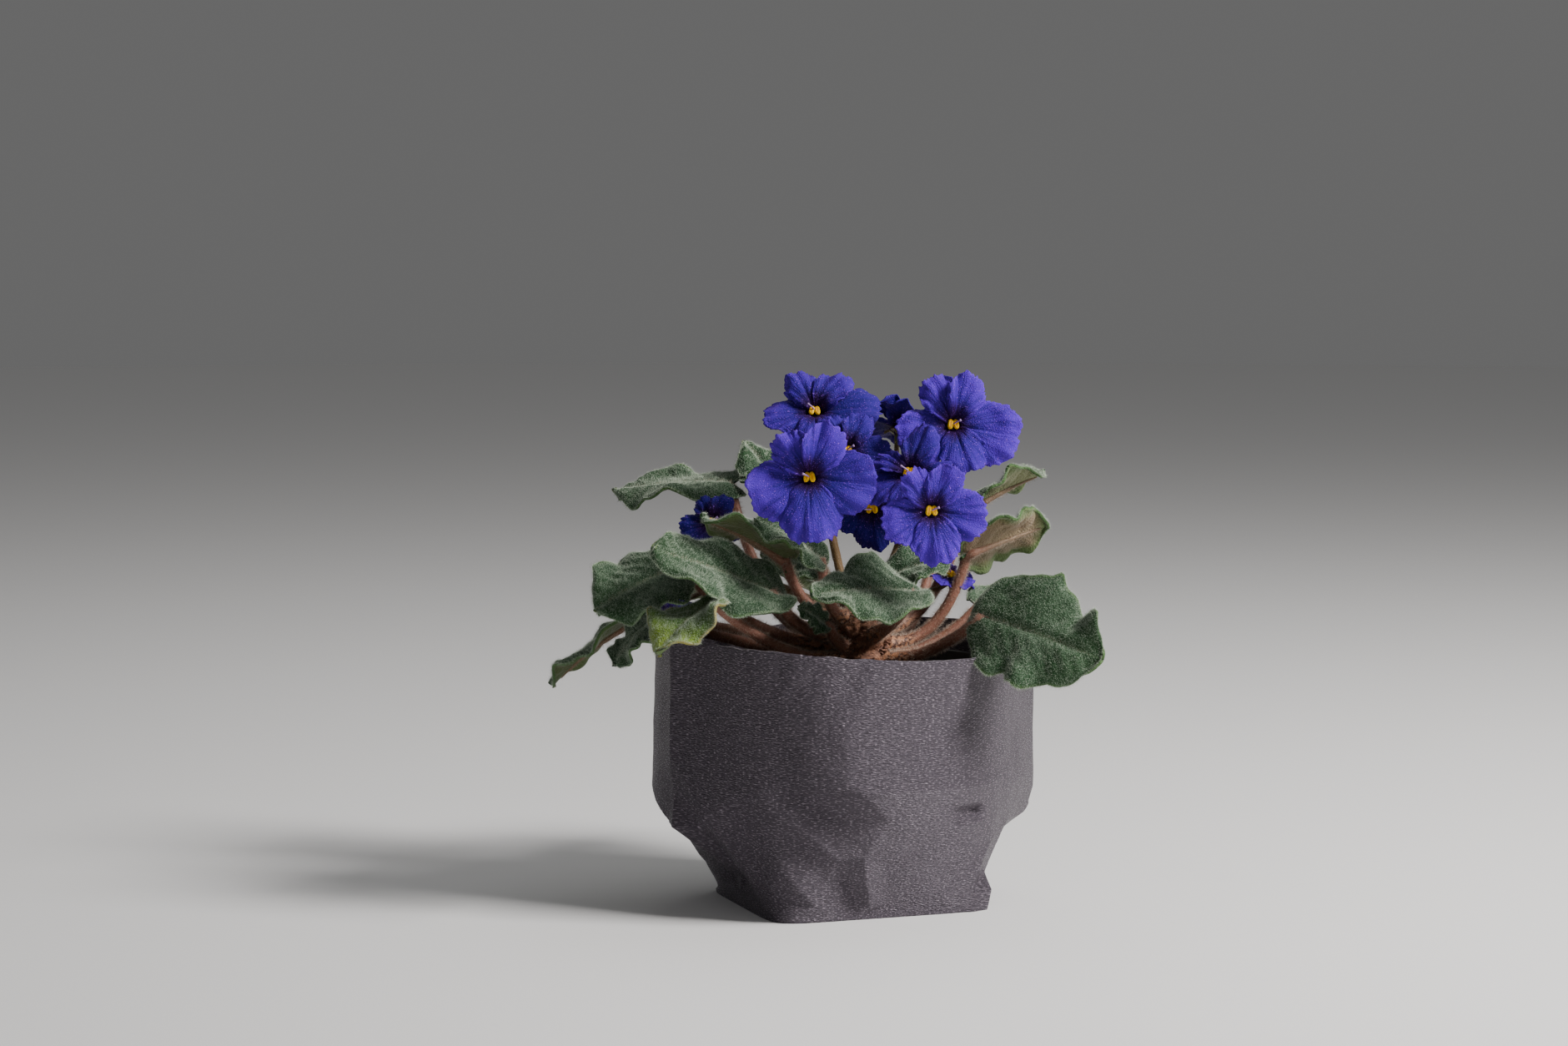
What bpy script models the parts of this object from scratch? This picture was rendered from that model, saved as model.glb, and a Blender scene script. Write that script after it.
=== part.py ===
"""A potted African violet: a rosette of hairy leaves and violet flowers, growing in a plastic
nursery pot that stands in a folded paper bag.

Run it with: blender --background --python part.py

The tables below are in millimetres, and MM turns them into Blender's metres. +Z is up, the
front faces -Y, and the origin is the middle of the bag's base, on the table.
"""

import math
from collections import namedtuple

import bmesh
import bpy
from mathutils import Vector

MM = 0.001
GAP = 0.3  # clearance between pieces that touch in the real plant

# ---------------------------------------------------------------- paper bag
BAG_TURN = 20.0  # degrees, how far the bag stands turned about +Z
BAG_PAPER = 0.6
BAG_BASE_HALF_LENGTH = 36.0
BAG_BASE_HALF_WIDTH = 34.0
BAG_WAIST = 54.5  # radius where the pot rounds the paper out
# (degrees from the right crease, how far it stands out past the waist, degrees it fades over)
BAG_RIDGES = ((0, 12.0, 14.0), (180, 3.0, 14.0), (152, 8.5, 44.0), (250, 1.0, 30.0))
BAG_CREASES = (0, 180)  # degrees, where the sides are creased from rim to foot
BAG_CREASE_FOOT = 27.0  # height where the side creases end in a folded corner
BAG_CREASE_FADE = 45.0  # degrees from a crease to where the walls are full only at BAG_WALL_FOOT
BAG_WALL_FOOT = 44.0  # height where the front and back walls reach their full girth
BAG_RIM = 86.0
BAG_RIM_WAVE = 1.8
BAG_RIM_PEAK = 225.0  # degrees about +Z of one of the rim's two high points
BAG_STATIONS = (0, 11, 24, 38, 44, 58, 74, 90, 106, 122, 136, 142, 156, 169)
BAG_HEIGHTS = (0.0, 4.0, 12.0, 20.0, 27.0, 36.0, 46.0, 66.0, BAG_RIM)

# --------------------------------------------------------------- nursery pot
POT_FLOOR_Z = BAG_PAPER + GAP
POT_FOOT_RADIUS = 31.5
POT_LIP_RADIUS = 50.0
POT_HEIGHT = 77.0
POT_LIP_HEIGHT = 8.0
POT_LIP_STEP = 1.2
POT_WALL = 1.1
POT_SIDES = 32
POT_CENTRE_RADIUS = 0.5  # the small flat in the middle that closes a turned shape

# ------------------------------------------------------------ soil and crown
SOIL_EDGE_Z = 71.0
SOIL_SHOULDER = 6.0  # depth over which the soil draws away from the wall
SOIL_SHOULDER_WIDTH = 4.0
SOIL_MOUND_Z = 76.5
SOIL_MOUND_RADIUS = 24.0
SOIL_SIDES = 24
CROWN_AT = (5.0, -7.0)
CROWN_ROOT_Z = 56.0
# (height, radius) up the short woody stem that every leaf and flower stalk grows from
CROWN_PROFILE = (
    (CROWN_ROOT_Z, 4.5), (64, 6.5), (75, 8.0), (81, 9.0), (91, 9.0), (97, 7.0), (101, 4.5), (103, 2.0)
)
CROWN_SIDES = 16

# -------------------------------------------------------------------- leaves
LEAF_THICKNESS = 1.1
LEAF_SECTION_POINTS = 10
PETIOLE_RADIUS = (1.7, 1.25)  # at the crown and at the blade
PETIOLE_STEPS = 5
# (share of the blade's length, share of its half width)
BLADE_OUTLINE = (
    (0.0, 0.16), (0.10, 0.62), (0.28, 0.93), (0.50, 1.0), (0.72, 0.84), (0.90, 0.48), (1.0, 0.12)
)
BLADE_LOBE = 0.10  # how far the base lobes reach back past the petiole, as a share of the length
BLADE_LOBE_END = 0.33  # share of the length past which the outline no longer leans back
BLADE_STEPS = 20
RIPPLE_TURN = 9.0  # radians of the edge's wave from the blade's base to its tip
RIPPLE_SKEW = 2.1  # radians between the waves of the two edges and the middle

# turn and height are where the petiole leaves the crown; rise lifts its middle; arch bows the
# blade upwards; face is the way the upper side looks; cup folds the two halves upwards
Leaf = namedtuple("Leaf", "name turn height rise base tip width arch face cup ripple")
LEAVES = (
    Leaf("leaf_right_front", 335, 79.5, 3, (43, -31, 97), (79, -48, 85), 36, 3, (-0.3, -0.9, 0.3), 0.05, 1.2),
    Leaf("leaf_right_rear", 5, 79.5, 3, (44, 2, 97), (79, 8, 88), 32, 3, (0.1, -0.4, 0.92), 0.05, 1.2),
    Leaf("leaf_right_mid", 18, 84.5, -2, (40, 2, 115), (66, 14, 122), 28, 0, (-0.35, 0.6, 0.7), 0.05, 1.0),
    Leaf("leaf_right_top", 42, 89.2, -2, (40, 20, 127), (66, 29, 138), 24, 2, (-0.3, 0.3, 0.9), 0.2, 1.0),
    Leaf("leaf_front", 300, 89.2, 2, (22, -30, 105), (-11, -45, 105), 30, 3, (0.1, -0.48, 0.87), 0.05, 1.2),
    Leaf("leaf_left_front", 207, 88.5, -2, (-22, -24, 103), (-61, -44, 120), 30, 2, (0.1, -0.4, 0.9), 0.05, 1.2),
    Leaf("leaf_left", 194, 84.3, 2, (-54, -14, 111), (-80, -25, 98), 32, 3, (-0.35, -0.65, 0.65), 0.05, 1.5),
    Leaf("leaf_left_yellow", 224, 80.5, 0, (-43, -37, 102), (-59, -55, 88), 24, 3, (-0.5, -0.6, 0.6), 0.2, 1.5),
    Leaf("leaf_left_low", 158, 80.5, 8, (-69, 14, 92), (-97, 23, 68), 26, 3, (-0.6, 0.1, 0.8), 0.1, 1.2),
    Leaf("leaf_left_inner", 183, 79.5, 5, (-62, -2, 93), (-75, -6, 78), 24, 2, (-0.7, -0.3, 0.65), 0.1, 1.0),
    Leaf("leaf_left_back", 140, 85.0, 0, (-38, 32, 135), (-77, 50, 130), 28, 3, (0.0, -0.3, 0.95), 0.0, 1.5),
    Leaf("leaf_back_top", 112, 94.0, 0, (-20, 33, 129), (-33, 42, 147), 22, 2, (0.3, -0.5, 0.8), 0.1, 1.0),
    Leaf("leaf_left_upper", 176, 93.5, 0, (-20, -9, 114), (-46, -19, 127), 24, 2, (0.2, 0.3, 0.9), 0.1, 1.2),
    Leaf("leaf_mid_left", 228, 94.0, 0, (-8, -17, 114), (-29, -26, 127), 20, 2, (0.5, -0.3, 0.8), 0.1, 1.0),
    Leaf("leaf_mid_right", 325, 94.0, 0, (12, -11.5, 107), (33, -14, 113.5), 17, 2, (-0.2, -0.55, 0.8), 0.1, 1.0),
    Leaf("leaf_centre_left", 135, 98.0, 0, (-7, 3, 108), (-27, 6, 113), 18, 2, (0.0, -0.5, 0.85), 0.1, 0.8),
    Leaf("leaf_young", 235, 85.0, 0, (-6, -22, 93), (-15, -27, 99), 11, 1, (0.3, -0.6, 0.75), 0.1, 0.4),
    Leaf("leaf_back_right", 57, 80.5, 0, (30, 38, 110), (52, 62, 110), 32, 4, (0.0, 0.0, 1.0), 0.05, 1.4),
    Leaf("leaf_back", 92, 80.0, 2, (2, 46, 100), (4, 80, 92), 34, 4, (0.0, 0.2, 1.0), 0.05, 1.4),
    Leaf("leaf_back_left", 125, 80.0, 2, (-32, 42, 101), (-54, 64, 92), 32, 4, (-0.2, 0.2, 1.0), 0.05, 1.4),
)

# ------------------------------------------------------------------- flowers
PEDUNCLE_RADIUS = 1.3
PEDUNCLE_SIDES = 8
PEDUNCLE_STEPS = 6
# turn and height are where the stalk leaves the crown; lean is its bend's control point
Stalk = namedtuple("Stalk", "name turn height lean top")
STALKS = (
    Stalk("stalk_left", 205, 98.5, (-3, -6, 112), (-7, -2, 132)),
    Stalk("stalk_right", 20, 98.5, (14, -2, 108), (22, 0, 129)),
    Stalk("stalk_side", 150, 93.0, (-16, 2, 102), (-36, 6, 107)),
)

PETAL_DIRECTIONS = (58.0, 122.0, 192.0, 270.0, 348.0)  # degrees round the face, 90 is up
PETAL_LENGTHS = (0.86, 0.86, 1.0, 1.0, 1.0)  # shares of the flower's radius
PETAL_HALF_SPREAD = 36.0  # degrees from a petal's middle to its edge
PETAL_NOTCH = 0.62  # radius between two petals, as a share of theirs
PETAL_THICKNESS = 0.9
COROLLA_POINTS = 20
COROLLA_START = 12.0  # degrees of the first point, so that points fall on tips and notches
COROLLA_CENTRE = 0.8
COROLLA_MIDDLE = 0.55  # share of the radius where the dish has a ring of points
PEDICEL_RADIUS = 0.75
PEDICEL_POINTS = 10
PEDICEL_STEPS = 4
CALYX_RADIUS = (4.2, 1.9)  # at the sepals' tips and between them
CALYX_DEPTH = 1.8
CALYX_RINGS = ((0.9, 0.6), (0.45, 1.0), (0.0, 1.0))  # depth behind the petals, share of the radius
ANTHER_LENGTH = 3.6
ANTHER_RADIUS = 1.3
ANTHER_HEIGHT = 1.3  # times the radius, up the face of the flower
ANTHER_DEPTH = 0.8  # times the radius, out of the throat
ANTHER_POINTS = 6
# (share of the half length, share of the radius) along the pair
ANTHER_OUTLINE = (
    (-1.0, 0.35), (-0.75, 0.9), (-0.35, 1.0), (0.0, 0.7), (0.35, 1.0), (0.75, 0.9), (1.0, 0.35)
)

# centre is the middle of the face and looks the way it faces; stalk and share say where on a
# flower stalk the pedicel starts; reach is how far behind the face it runs straight
Flower = namedtuple("Flower", "name centre looks radius dish stalk share rise reach")
FLOWERS = (
    Flower("flower_top_left", (-10, 4, 159), (-0.05, -0.75, 0.65), 18, 1.5, "stalk_left", 1.0, 8, 10),
    Flower("flower_centre", (0, -13, 147.5), (0.05, -0.9, 0.4), 14, 1.5, "stalk_left", 0.9, 4, 8),
    Flower("flower_front_left", (-12, -36, 141), (-0.05, -0.97, 0.2), 20, 2.0, "stalk_left", 0.75, 0, 14),
    Flower("flower_top_right", (34, -12, 156), (0.1, -0.95, 0.3), 20, 2.0, "stalk_right", 1.0, 8, 12),
    Flower("flower_mid_right", (20, -28, 141.5), (-0.35, -0.75, 0.55), 16, 1.5, "stalk_right", 0.83, 2, 10),
    Flower("flower_front_right", (26, -43, 131), (0.05, -0.97, 0.2), 17, 1.5, "stalk_right", 0.67, 1, 16),
    Flower("flower_low_centre", (8.5, -4, 129), (-0.1, -0.95, -0.25), 11.5, 1.5, "stalk_right", 0.67, 0, 6),
    Flower("flower_back_right", (16, 17, 148), (0.3, 0.5, 0.8), 17, 1.5, "stalk_right", 0.83, 6, 8),
    Flower("flower_low_right", (37, 9.5, 103), (0.3, -0.3, 0.9), 7.5, 1.0, "stalk_right", 0.17, -2, 5),
    Flower("flower_left", (-43, 7, 124.5), (-0.2, -0.85, 0.5), 14, 1.5, "stalk_side", 1.0, 4, 8),
    Flower("flower_left_low", (-55, -20, 97), (-0.3, -0.8, -0.5), 8.5, 1.0, "stalk_side", 0.9, 0, 6),
)

COLOURS = {  # base colour, roughness
    "paper": ((0.055, 0.053, 0.058), 0.75),
    "pot": ((0.02, 0.02, 0.02), 0.5),
    "soil": ((0.035, 0.022, 0.014), 0.95),
    "crown": ((0.22, 0.09, 0.045), 0.7),
    "leaf": ((0.045, 0.12, 0.045), 0.6),
    "stalk": ((0.22, 0.13, 0.06), 0.6),
    "petal": ((0.10, 0.07, 0.55), 0.5),
    "anther": ((0.85, 0.55, 0.02), 0.5),
}


# ------------------------------------------------------------ shared helpers
def material(name):
    """The Principled material of that name, made on first use."""
    made = bpy.data.materials.get(name)
    if made is None:
        colour, roughness = COLOURS[name]
        made = bpy.data.materials.new(name)
        made.use_nodes = True
        shader = made.node_tree.nodes["Principled BSDF"]
        shader.inputs["Base Color"].default_value = (*colour, 1.0)
        shader.inputs["Roughness"].default_value = roughness
        shader.inputs["Metallic"].default_value = 0.0
        made.diffuse_color = (*colour, 1.0)
    return made


def place(name, mesh, finish, collection):
    """Puts a mesh in the scene as a named object with one finish."""
    mesh.materials.append(material(finish))
    mesh.shade_smooth()
    mesh.set_sharp_from_angle(angle=math.radians(40))
    obj = bpy.data.objects.new(name, mesh)
    collection.objects.link(obj)
    return obj


def loft(name, rings):
    """A closed mesh through rings of millimetre points, with a cap on the first and the last."""
    bm = bmesh.new()
    loops = [[bm.verts.new(Vector(point) * MM) for point in ring] for ring in rings]
    for lower, upper in zip(loops, loops[1:]):
        for i in range(len(lower)):
            j = (i + 1) % len(lower)
            bm.faces.new((lower[i], lower[j], upper[j], upper[i]))
    bm.faces.new(loops[0][::-1])
    bm.faces.new(loops[-1])
    bmesh.ops.triangulate(bm, faces=[f for f in bm.faces if len(f.verts) > 4])
    bmesh.ops.recalc_face_normals(bm, faces=bm.faces)
    mesh = bpy.data.meshes.new(name)
    bm.to_mesh(mesh)
    bm.free()
    return mesh


def circle(centre, radius, sides, across=Vector((1, 0, 0)), along=Vector((0, 1, 0))):
    """Points round a circle in the plane of two unit vectors."""
    turns = [2 * math.pi * i / sides for i in range(sides)]
    return [centre + radius * (math.cos(t) * across + math.sin(t) * along) for t in turns]


def bezier(points, steps):
    """Steps + 1 points along the Bezier curve of three or four control points."""
    curve = []
    for i in range(steps + 1):
        level = [Vector(p) for p in points]
        while len(level) > 1:
            level = [a.lerp(b, i / steps) for a, b in zip(level, level[1:])]
        curve.append(level[0])
    return curve


def tangents(curve):
    """The unit direction of travel at each point of a curve."""
    last = len(curve) - 1
    return [(curve[min(i + 1, last)] - curve[max(i - 1, 0)]).normalized() for i in range(last + 1)]


def squared(vector, direction):
    """The part of vector at right angles to a unit direction, as a unit vector."""
    return (vector - vector.dot(direction) * direction).normalized()


def tube_rings(curve, radii, sides, start_normal):
    """Rings round a curve that don't twist, one for each point."""
    rings = []
    normal = Vector(start_normal)
    for centre, direction, radius in zip(curve, tangents(curve), radii):
        normal = squared(normal, direction)
        rings.append(circle(centre, radius, sides, normal, direction.cross(normal)))
    return rings


# --------------------------------------------------------------------- bag
def smooth(share):
    """An S-shaped step from 0 to 1."""
    share = min(1.0, max(0.0, share))
    return share * share * (3 - 2 * share)


def apart(turn, other):
    """The angle between two directions, in degrees."""
    return abs((turn - other + 180) % 360 - 180)


def bag_radius(turn, height):
    """Radius of the bag's outer face at an angle from its right crease, in degrees, and a height."""
    angle = math.radians(turn)
    base = min(
        BAG_BASE_HALF_LENGTH / max(abs(math.cos(angle)), 1e-6),
        BAG_BASE_HALF_WIDTH / max(abs(math.sin(angle)), 1e-6),
    )
    waist = BAG_WAIST
    for ridge, reach, spread in BAG_RIDGES:
        waist += reach * smooth(1 - apart(turn, ridge) / spread)
    nearness = max(1 - apart(turn, crease) / BAG_CREASE_FADE for crease in BAG_CREASES)
    foot = BAG_WALL_FOOT + (BAG_CREASE_FOOT - BAG_WALL_FOOT) * smooth(nearness)
    return base + (waist - base) * smooth(height / foot)


def bag_point(turn, height):
    """A point of the bag's outer face. The rim rises and falls a little round the mouth."""
    radius = bag_radius(turn, height)
    angle = math.radians(turn + BAG_TURN)
    wave = BAG_RIM_WAVE * math.cos(2 * (angle - math.radians(BAG_RIM_PEAK))) * height / BAG_RIM
    return Vector((radius * math.cos(angle), radius * math.sin(angle), height + wave))


def make_bag(collection):
    """The bag: one sheet of stiff paper with a flat folded base and an open mouth."""
    bm = bmesh.new()
    turns = BAG_STATIONS + tuple(t + 180 for t in BAG_STATIONS)
    loops = [[bm.verts.new(bag_point(t, h) * MM) for t in turns] for h in BAG_HEIGHTS]
    for lower, upper in zip(loops, loops[1:]):
        for i in range(len(turns)):
            j = (i + 1) % len(turns)
            bm.faces.new((lower[i], lower[j], upper[j], upper[i]))
    bm.faces.new(loops[0][::-1])
    mesh = bpy.data.meshes.new("paper_bag")
    bm.to_mesh(mesh)
    bm.free()
    bag = place("paper_bag", mesh, "paper", collection)
    paper = bag.modifiers.new("paper", "SOLIDIFY")
    paper.thickness = BAG_PAPER * MM
    paper.offset = -1.0
    paper.use_even_offset = True


# ------------------------------------------------------------ pot and soil
def make_pot(collection):
    """The thin plastic nursery pot, turned from one closed profile."""
    floor, top = POT_FLOOR_Z, POT_FLOOR_Z + POT_HEIGHT
    lip = top - POT_LIP_HEIGHT
    neck = POT_LIP_RADIUS - POT_LIP_STEP
    profile = (
        (POT_CENTRE_RADIUS, floor + POT_WALL),
        (POT_FOOT_RADIUS - POT_WALL, floor + POT_WALL),
        (neck - POT_WALL, lip),
        (POT_LIP_RADIUS - POT_WALL, lip + POT_LIP_STEP),
        (POT_LIP_RADIUS - POT_WALL, top),
        (POT_LIP_RADIUS, top),
        (POT_LIP_RADIUS, lip),
        (neck, lip - POT_LIP_STEP),
        (POT_FOOT_RADIUS, floor),
        (POT_CENTRE_RADIUS, floor),
    )
    rings = [circle(Vector((0, 0, z)), radius, POT_SIDES) for radius, z in profile]
    place("nursery_pot", loft("nursery_pot", rings), "pot", collection)


def pot_inner_radius(height):
    """Radius inside the pot's tapered wall, below its lip."""
    lip = POT_FLOOR_Z + POT_HEIGHT - POT_LIP_HEIGHT
    share = (height - POT_FLOOR_Z - POT_WALL) / (lip - POT_FLOOR_Z - POT_WALL)
    foot = POT_FOOT_RADIUS - POT_WALL
    return foot + (POT_LIP_RADIUS - POT_LIP_STEP - POT_WALL - foot) * share


def make_soil(collection):
    """The root ball: potting soil that fills the pot, mounded round the hole of the crown."""
    low = POT_FLOOR_Z + POT_WALL + GAP
    shoulder = SOIL_EDGE_Z - SOIL_SHOULDER
    fit = 2 * GAP  # the facets of the pot's wall come closer than its corners do
    wall = pot_inner_radius(shoulder) - fit
    crown = Vector((*CROWN_AT, SOIL_MOUND_Z))
    hole = max(r for z, r in CROWN_PROFILE if z <= SOIL_MOUND_Z) + GAP
    levels = (
        (Vector((0, 0, low)), POT_CENTRE_RADIUS),
        (Vector((0, 0, low)), pot_inner_radius(low) - fit),
        (Vector((0, 0, shoulder)), wall),
        (Vector((0, 0, SOIL_EDGE_Z - GAP)), wall - SOIL_SHOULDER_WIDTH / 4),
        (Vector((0, 0, SOIL_EDGE_Z)), wall - SOIL_SHOULDER_WIDTH),
        (crown, SOIL_MOUND_RADIUS),
        (crown, hole + GAP),
        (Vector((*CROWN_AT, CROWN_ROOT_Z - GAP)), hole),
    )
    rings = [circle(centre, radius, SOIL_SIDES) for centre, radius in levels]
    place("potting_soil", loft("potting_soil", rings), "soil", collection)


# ------------------------------------------------------------------- crown
def make_crown(collection):
    """The short woody stem, half in the soil."""
    rings = [circle(Vector((*CROWN_AT, z)), radius, CROWN_SIDES) for z, radius in CROWN_PROFILE]
    place("crown", loft("crown", rings), "crown", collection)


def crown_radius(height):
    """Radius of the crown at a height."""
    for (low, inner), (high, outer) in zip(CROWN_PROFILE, CROWN_PROFILE[1:]):
        if low <= height <= high:
            return inner + (outer - inner) * (height - low) / (high - low)
    return 0.0


def from_crown(turn, height, radius, others, steps):
    """The curve of a stalk of that radius from the crown's side, clear of it by the gap."""
    angle = math.radians(turn)
    outward = Vector((math.cos(angle), math.sin(angle), 0))
    start = Vector((*CROWN_AT, height)) + outward * (crown_radius(height) + GAP)
    curve = bezier((start, *others(start, outward)), steps)
    lean = tangents(curve)[0].dot(outward)
    start += outward * radius * math.sqrt(max(0.0, 1 - lean ** 2))
    return bezier((start, *others(start, outward)), steps)


# ------------------------------------------------------------------ leaves
def blade_ring(centre, direction, face, leaf, share, half_width):
    """One closed section of a blade: across its upper side and back along its lower side."""
    side = direction.cross(face)
    length = (Vector(leaf.tip) - Vector(leaf.base)).length
    columns = LEAF_SECTION_POINTS // 2
    upper, lower = [], []
    for i in range(columns):
        across = 2 * i / (columns - 1) - 1
        reach = abs(across)
        ripple = leaf.ripple * reach ** 2 * math.sin(RIPPLE_TURN * share + RIPPLE_SKEW * across)
        lift = leaf.cup * half_width * reach + ripple
        back = BLADE_LOBE * length * reach ** 2 * max(0.0, 1 - share / BLADE_LOBE_END)
        middle = centre + side * across * half_width + face * lift - direction * back
        upper.append(middle + face * LEAF_THICKNESS / 2)
        lower.append(middle - face * LEAF_THICKNESS / 2)
    return upper + lower[::-1]


def make_leaf(leaf, collection):
    """A leaf in one piece: its round petiole runs into the flat blade."""
    base, tip = Vector(leaf.base), Vector(leaf.tip)

    def onward(start, outward):
        reach = (base - start).length / 2
        return start + outward * reach + Vector((0, 0, leaf.rise)), base

    petiole = from_crown(leaf.turn, leaf.height, PETIOLE_RADIUS[0], onward, PETIOLE_STEPS)[:-1]
    crest = (base + tip) / 2 + Vector(leaf.face) * leaf.arch
    blade = bezier((base, crest, tip), BLADE_STEPS)
    middles = [blade[round(BLADE_STEPS * share)] for share, _ in BLADE_OUTLINE]
    curve = petiole + middles
    ways = tangents(curve)

    rings = []
    blade_ways = ways[len(petiole):]
    for middle, way, (share, width) in zip(middles, blade_ways, BLADE_OUTLINE):
        face = squared(Vector(leaf.face), way)
        rings.append(blade_ring(middle, way, face, leaf, share, leaf.width / 2 * width))

    across = blade_ways[0].cross(squared(Vector(leaf.face), blade_ways[0]))
    turns = [math.pi - 2 * math.pi * (k + 0.5) / LEAF_SECTION_POINTS for k in range(LEAF_SECTION_POINTS)]
    thick, thin = PETIOLE_RADIUS
    for i in range(len(petiole) - 1, -1, -1):
        across = squared(across, ways[i])
        above = across.cross(ways[i])
        radius = thick + (thin - thick) * i / len(petiole)
        rings.insert(0, [petiole[i] + radius * (math.cos(t) * across + math.sin(t) * above) for t in turns])
    place(leaf.name, loft(leaf.name, rings), "leaf", collection)


# ----------------------------------------------------------------- flowers
def stalk_curve(stalk):
    """The middle line of a flower stalk."""
    ahead = (Vector(stalk.lean), Vector(stalk.top))
    return from_crown(stalk.turn, stalk.height, PEDUNCLE_RADIUS, lambda *_: ahead, PEDUNCLE_STEPS)


def make_stalk(stalk, collection):
    """A flower stalk, which the pedicels branch from."""
    curve = stalk_curve(stalk)
    rings = tube_rings(curve, [PEDUNCLE_RADIUS] * len(curve), PEDUNCLE_SIDES, (0, -1, 0))
    place(stalk.name, loft(stalk.name, rings), "stalk", collection)


def face_axes(flower):
    """The flower's forward, right and up unit vectors, right as someone facing it sees it."""
    forward = Vector(flower.looks).normalized()
    up = squared(Vector((0, 0, 1)), forward)
    return forward, up.cross(forward), up


def corolla_radius(turn, radius):
    """Radius of the petals' outline at an angle round the face."""
    best = 0.0
    for direction, length in zip(PETAL_DIRECTIONS, PETAL_LENGTHS):
        away = min(1.0, apart(turn, direction) / PETAL_HALF_SPREAD)
        swell = PETAL_NOTCH + (1 - PETAL_NOTCH) * math.sqrt(1 - away ** 2)
        best = max(best, length * swell)
    return radius * best


def make_corolla(flower, collection):
    """The five petals, which grow together at the middle and fall as one piece."""
    forward, right, up = face_axes(flower)
    centre = Vector(flower.centre)
    turns = [360 * i / COROLLA_POINTS + COROLLA_START for i in range(COROLLA_POINTS)]

    def ring(share, side):
        points = []
        for turn in turns:
            angle = math.radians(turn)
            radius = max(COROLLA_CENTRE, share * corolla_radius(turn, flower.radius))
            lift = flower.dish * (radius / flower.radius) ** 2 + side * PETAL_THICKNESS / 2
            points.append(centre + radius * (math.cos(angle) * right + math.sin(angle) * up) + lift * forward)
        return points

    shares = (0.0, COROLLA_MIDDLE, 1.0)
    rings = [ring(share, -1) for share in shares] + [ring(share, 1) for share in shares[::-1]]
    name = flower.name + "_corolla"
    place(name, loft(name, rings), "petal", collection)


def make_anthers(flower, collection):
    """The pair of yellow pollen sacs in the throat, joined in the middle."""
    forward, right, up = face_axes(flower)
    lift = PETAL_THICKNESS / 2 + GAP + ANTHER_DEPTH * ANTHER_RADIUS
    centre = Vector(flower.centre) + forward * lift
    rings = []
    for along, share in ANTHER_OUTLINE:
        middle = centre + right * along * ANTHER_LENGTH / 2
        radius = ANTHER_RADIUS * share
        rings.append(circle(middle, radius, ANTHER_POINTS, up * ANTHER_HEIGHT, forward * ANTHER_DEPTH))
    name = flower.name + "_anthers"
    place(name, loft(name, rings), "anther", collection)


def make_pedicel(flower, collection):
    """The thin stalk of one flower with the star of five sepals that holds the petals."""
    forward, right, up = face_axes(flower)
    stalk = next(s for s in STALKS if s.name == flower.stalk)
    route = stalk_curve(stalk)
    nearest = round(flower.share * (len(route) - 1))
    foot = route[nearest]
    axis = tangents(route)[nearest]
    seat = Vector(flower.centre) - forward * (PETAL_THICKNESS / 2 + GAP)
    back = seat - forward * flower.reach
    aim = (back + Vector((0, 0, flower.rise)) - foot).normalized()
    along = abs(aim.dot(axis))
    across = math.sqrt(1 - along ** 2)
    beside = (PEDUNCLE_RADIUS + GAP + PEDICEL_RADIUS * along) / max(across, 0.01)
    beyond = (GAP + PEDICEL_RADIUS * across) / max(along, 0.01)
    if nearest == len(route) - 1:
        start = foot + aim * min(beside, beyond)
    else:
        start = foot + squared(aim, axis) * (PEDUNCLE_RADIUS + GAP + PEDICEL_RADIUS * along)
    control = start + Vector((0, 0, flower.rise))
    curve = bezier((start, control, back, seat - forward * CALYX_DEPTH), PEDICEL_STEPS)
    rings = tube_rings(curve, [PEDICEL_RADIUS] * len(curve), PEDICEL_POINTS, right)
    for depth, share in CALYX_RINGS:
        ring = []
        for i in range(PEDICEL_POINTS):
            radius = max(PEDICEL_RADIUS, CALYX_RADIUS[i % 2] * share)
            angle = 2 * math.pi * i / PEDICEL_POINTS
            spoke = math.cos(angle) * right + math.sin(angle) * forward.cross(right)
            ring.append(seat - forward * depth + radius * spoke)
        rings.append(ring)
    name = flower.name + "_pedicel"
    place(name, loft(name, rings), "stalk", collection)


# ------------------------------------------------------------------- build
def main():
    """Clears the scene and builds every piece."""
    for obj in list(bpy.data.objects):
        bpy.data.objects.remove(obj)
    collection = bpy.data.collections.new("potted_african_violet")
    bpy.context.scene.collection.children.link(collection)
    make_bag(collection)
    make_pot(collection)
    make_soil(collection)
    make_crown(collection)
    for leaf in LEAVES:
        make_leaf(leaf, collection)
    for stalk in STALKS:
        make_stalk(stalk, collection)
    for flower in FLOWERS:
        make_corolla(flower, collection)
        make_anthers(flower, collection)
        make_pedicel(flower, collection)


main()
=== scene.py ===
"""The looks of a potted African violet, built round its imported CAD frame.

A rosette of hairy leaves and violet-blue flowers grows from a short woody crown, in a nursery pot
that stands in a folded bag of charcoal creped paper. Every size below is in millimetres, and MM
turns it into the frame's metres. +Z is up and the front faces -Y.
"""

from __future__ import annotations

import logging
import math
from collections.abc import Callable, Sequence
from dataclasses import dataclass
from enum import Enum
from functools import cache

import bmesh
import bpy
import numpy as np
from bmesh.types import BMesh
from mathutils import Matrix, Vector, noise
from mathutils.bvhtree import BVHTree
from mathutils.geometry import delaunay_2d_cdt


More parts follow.
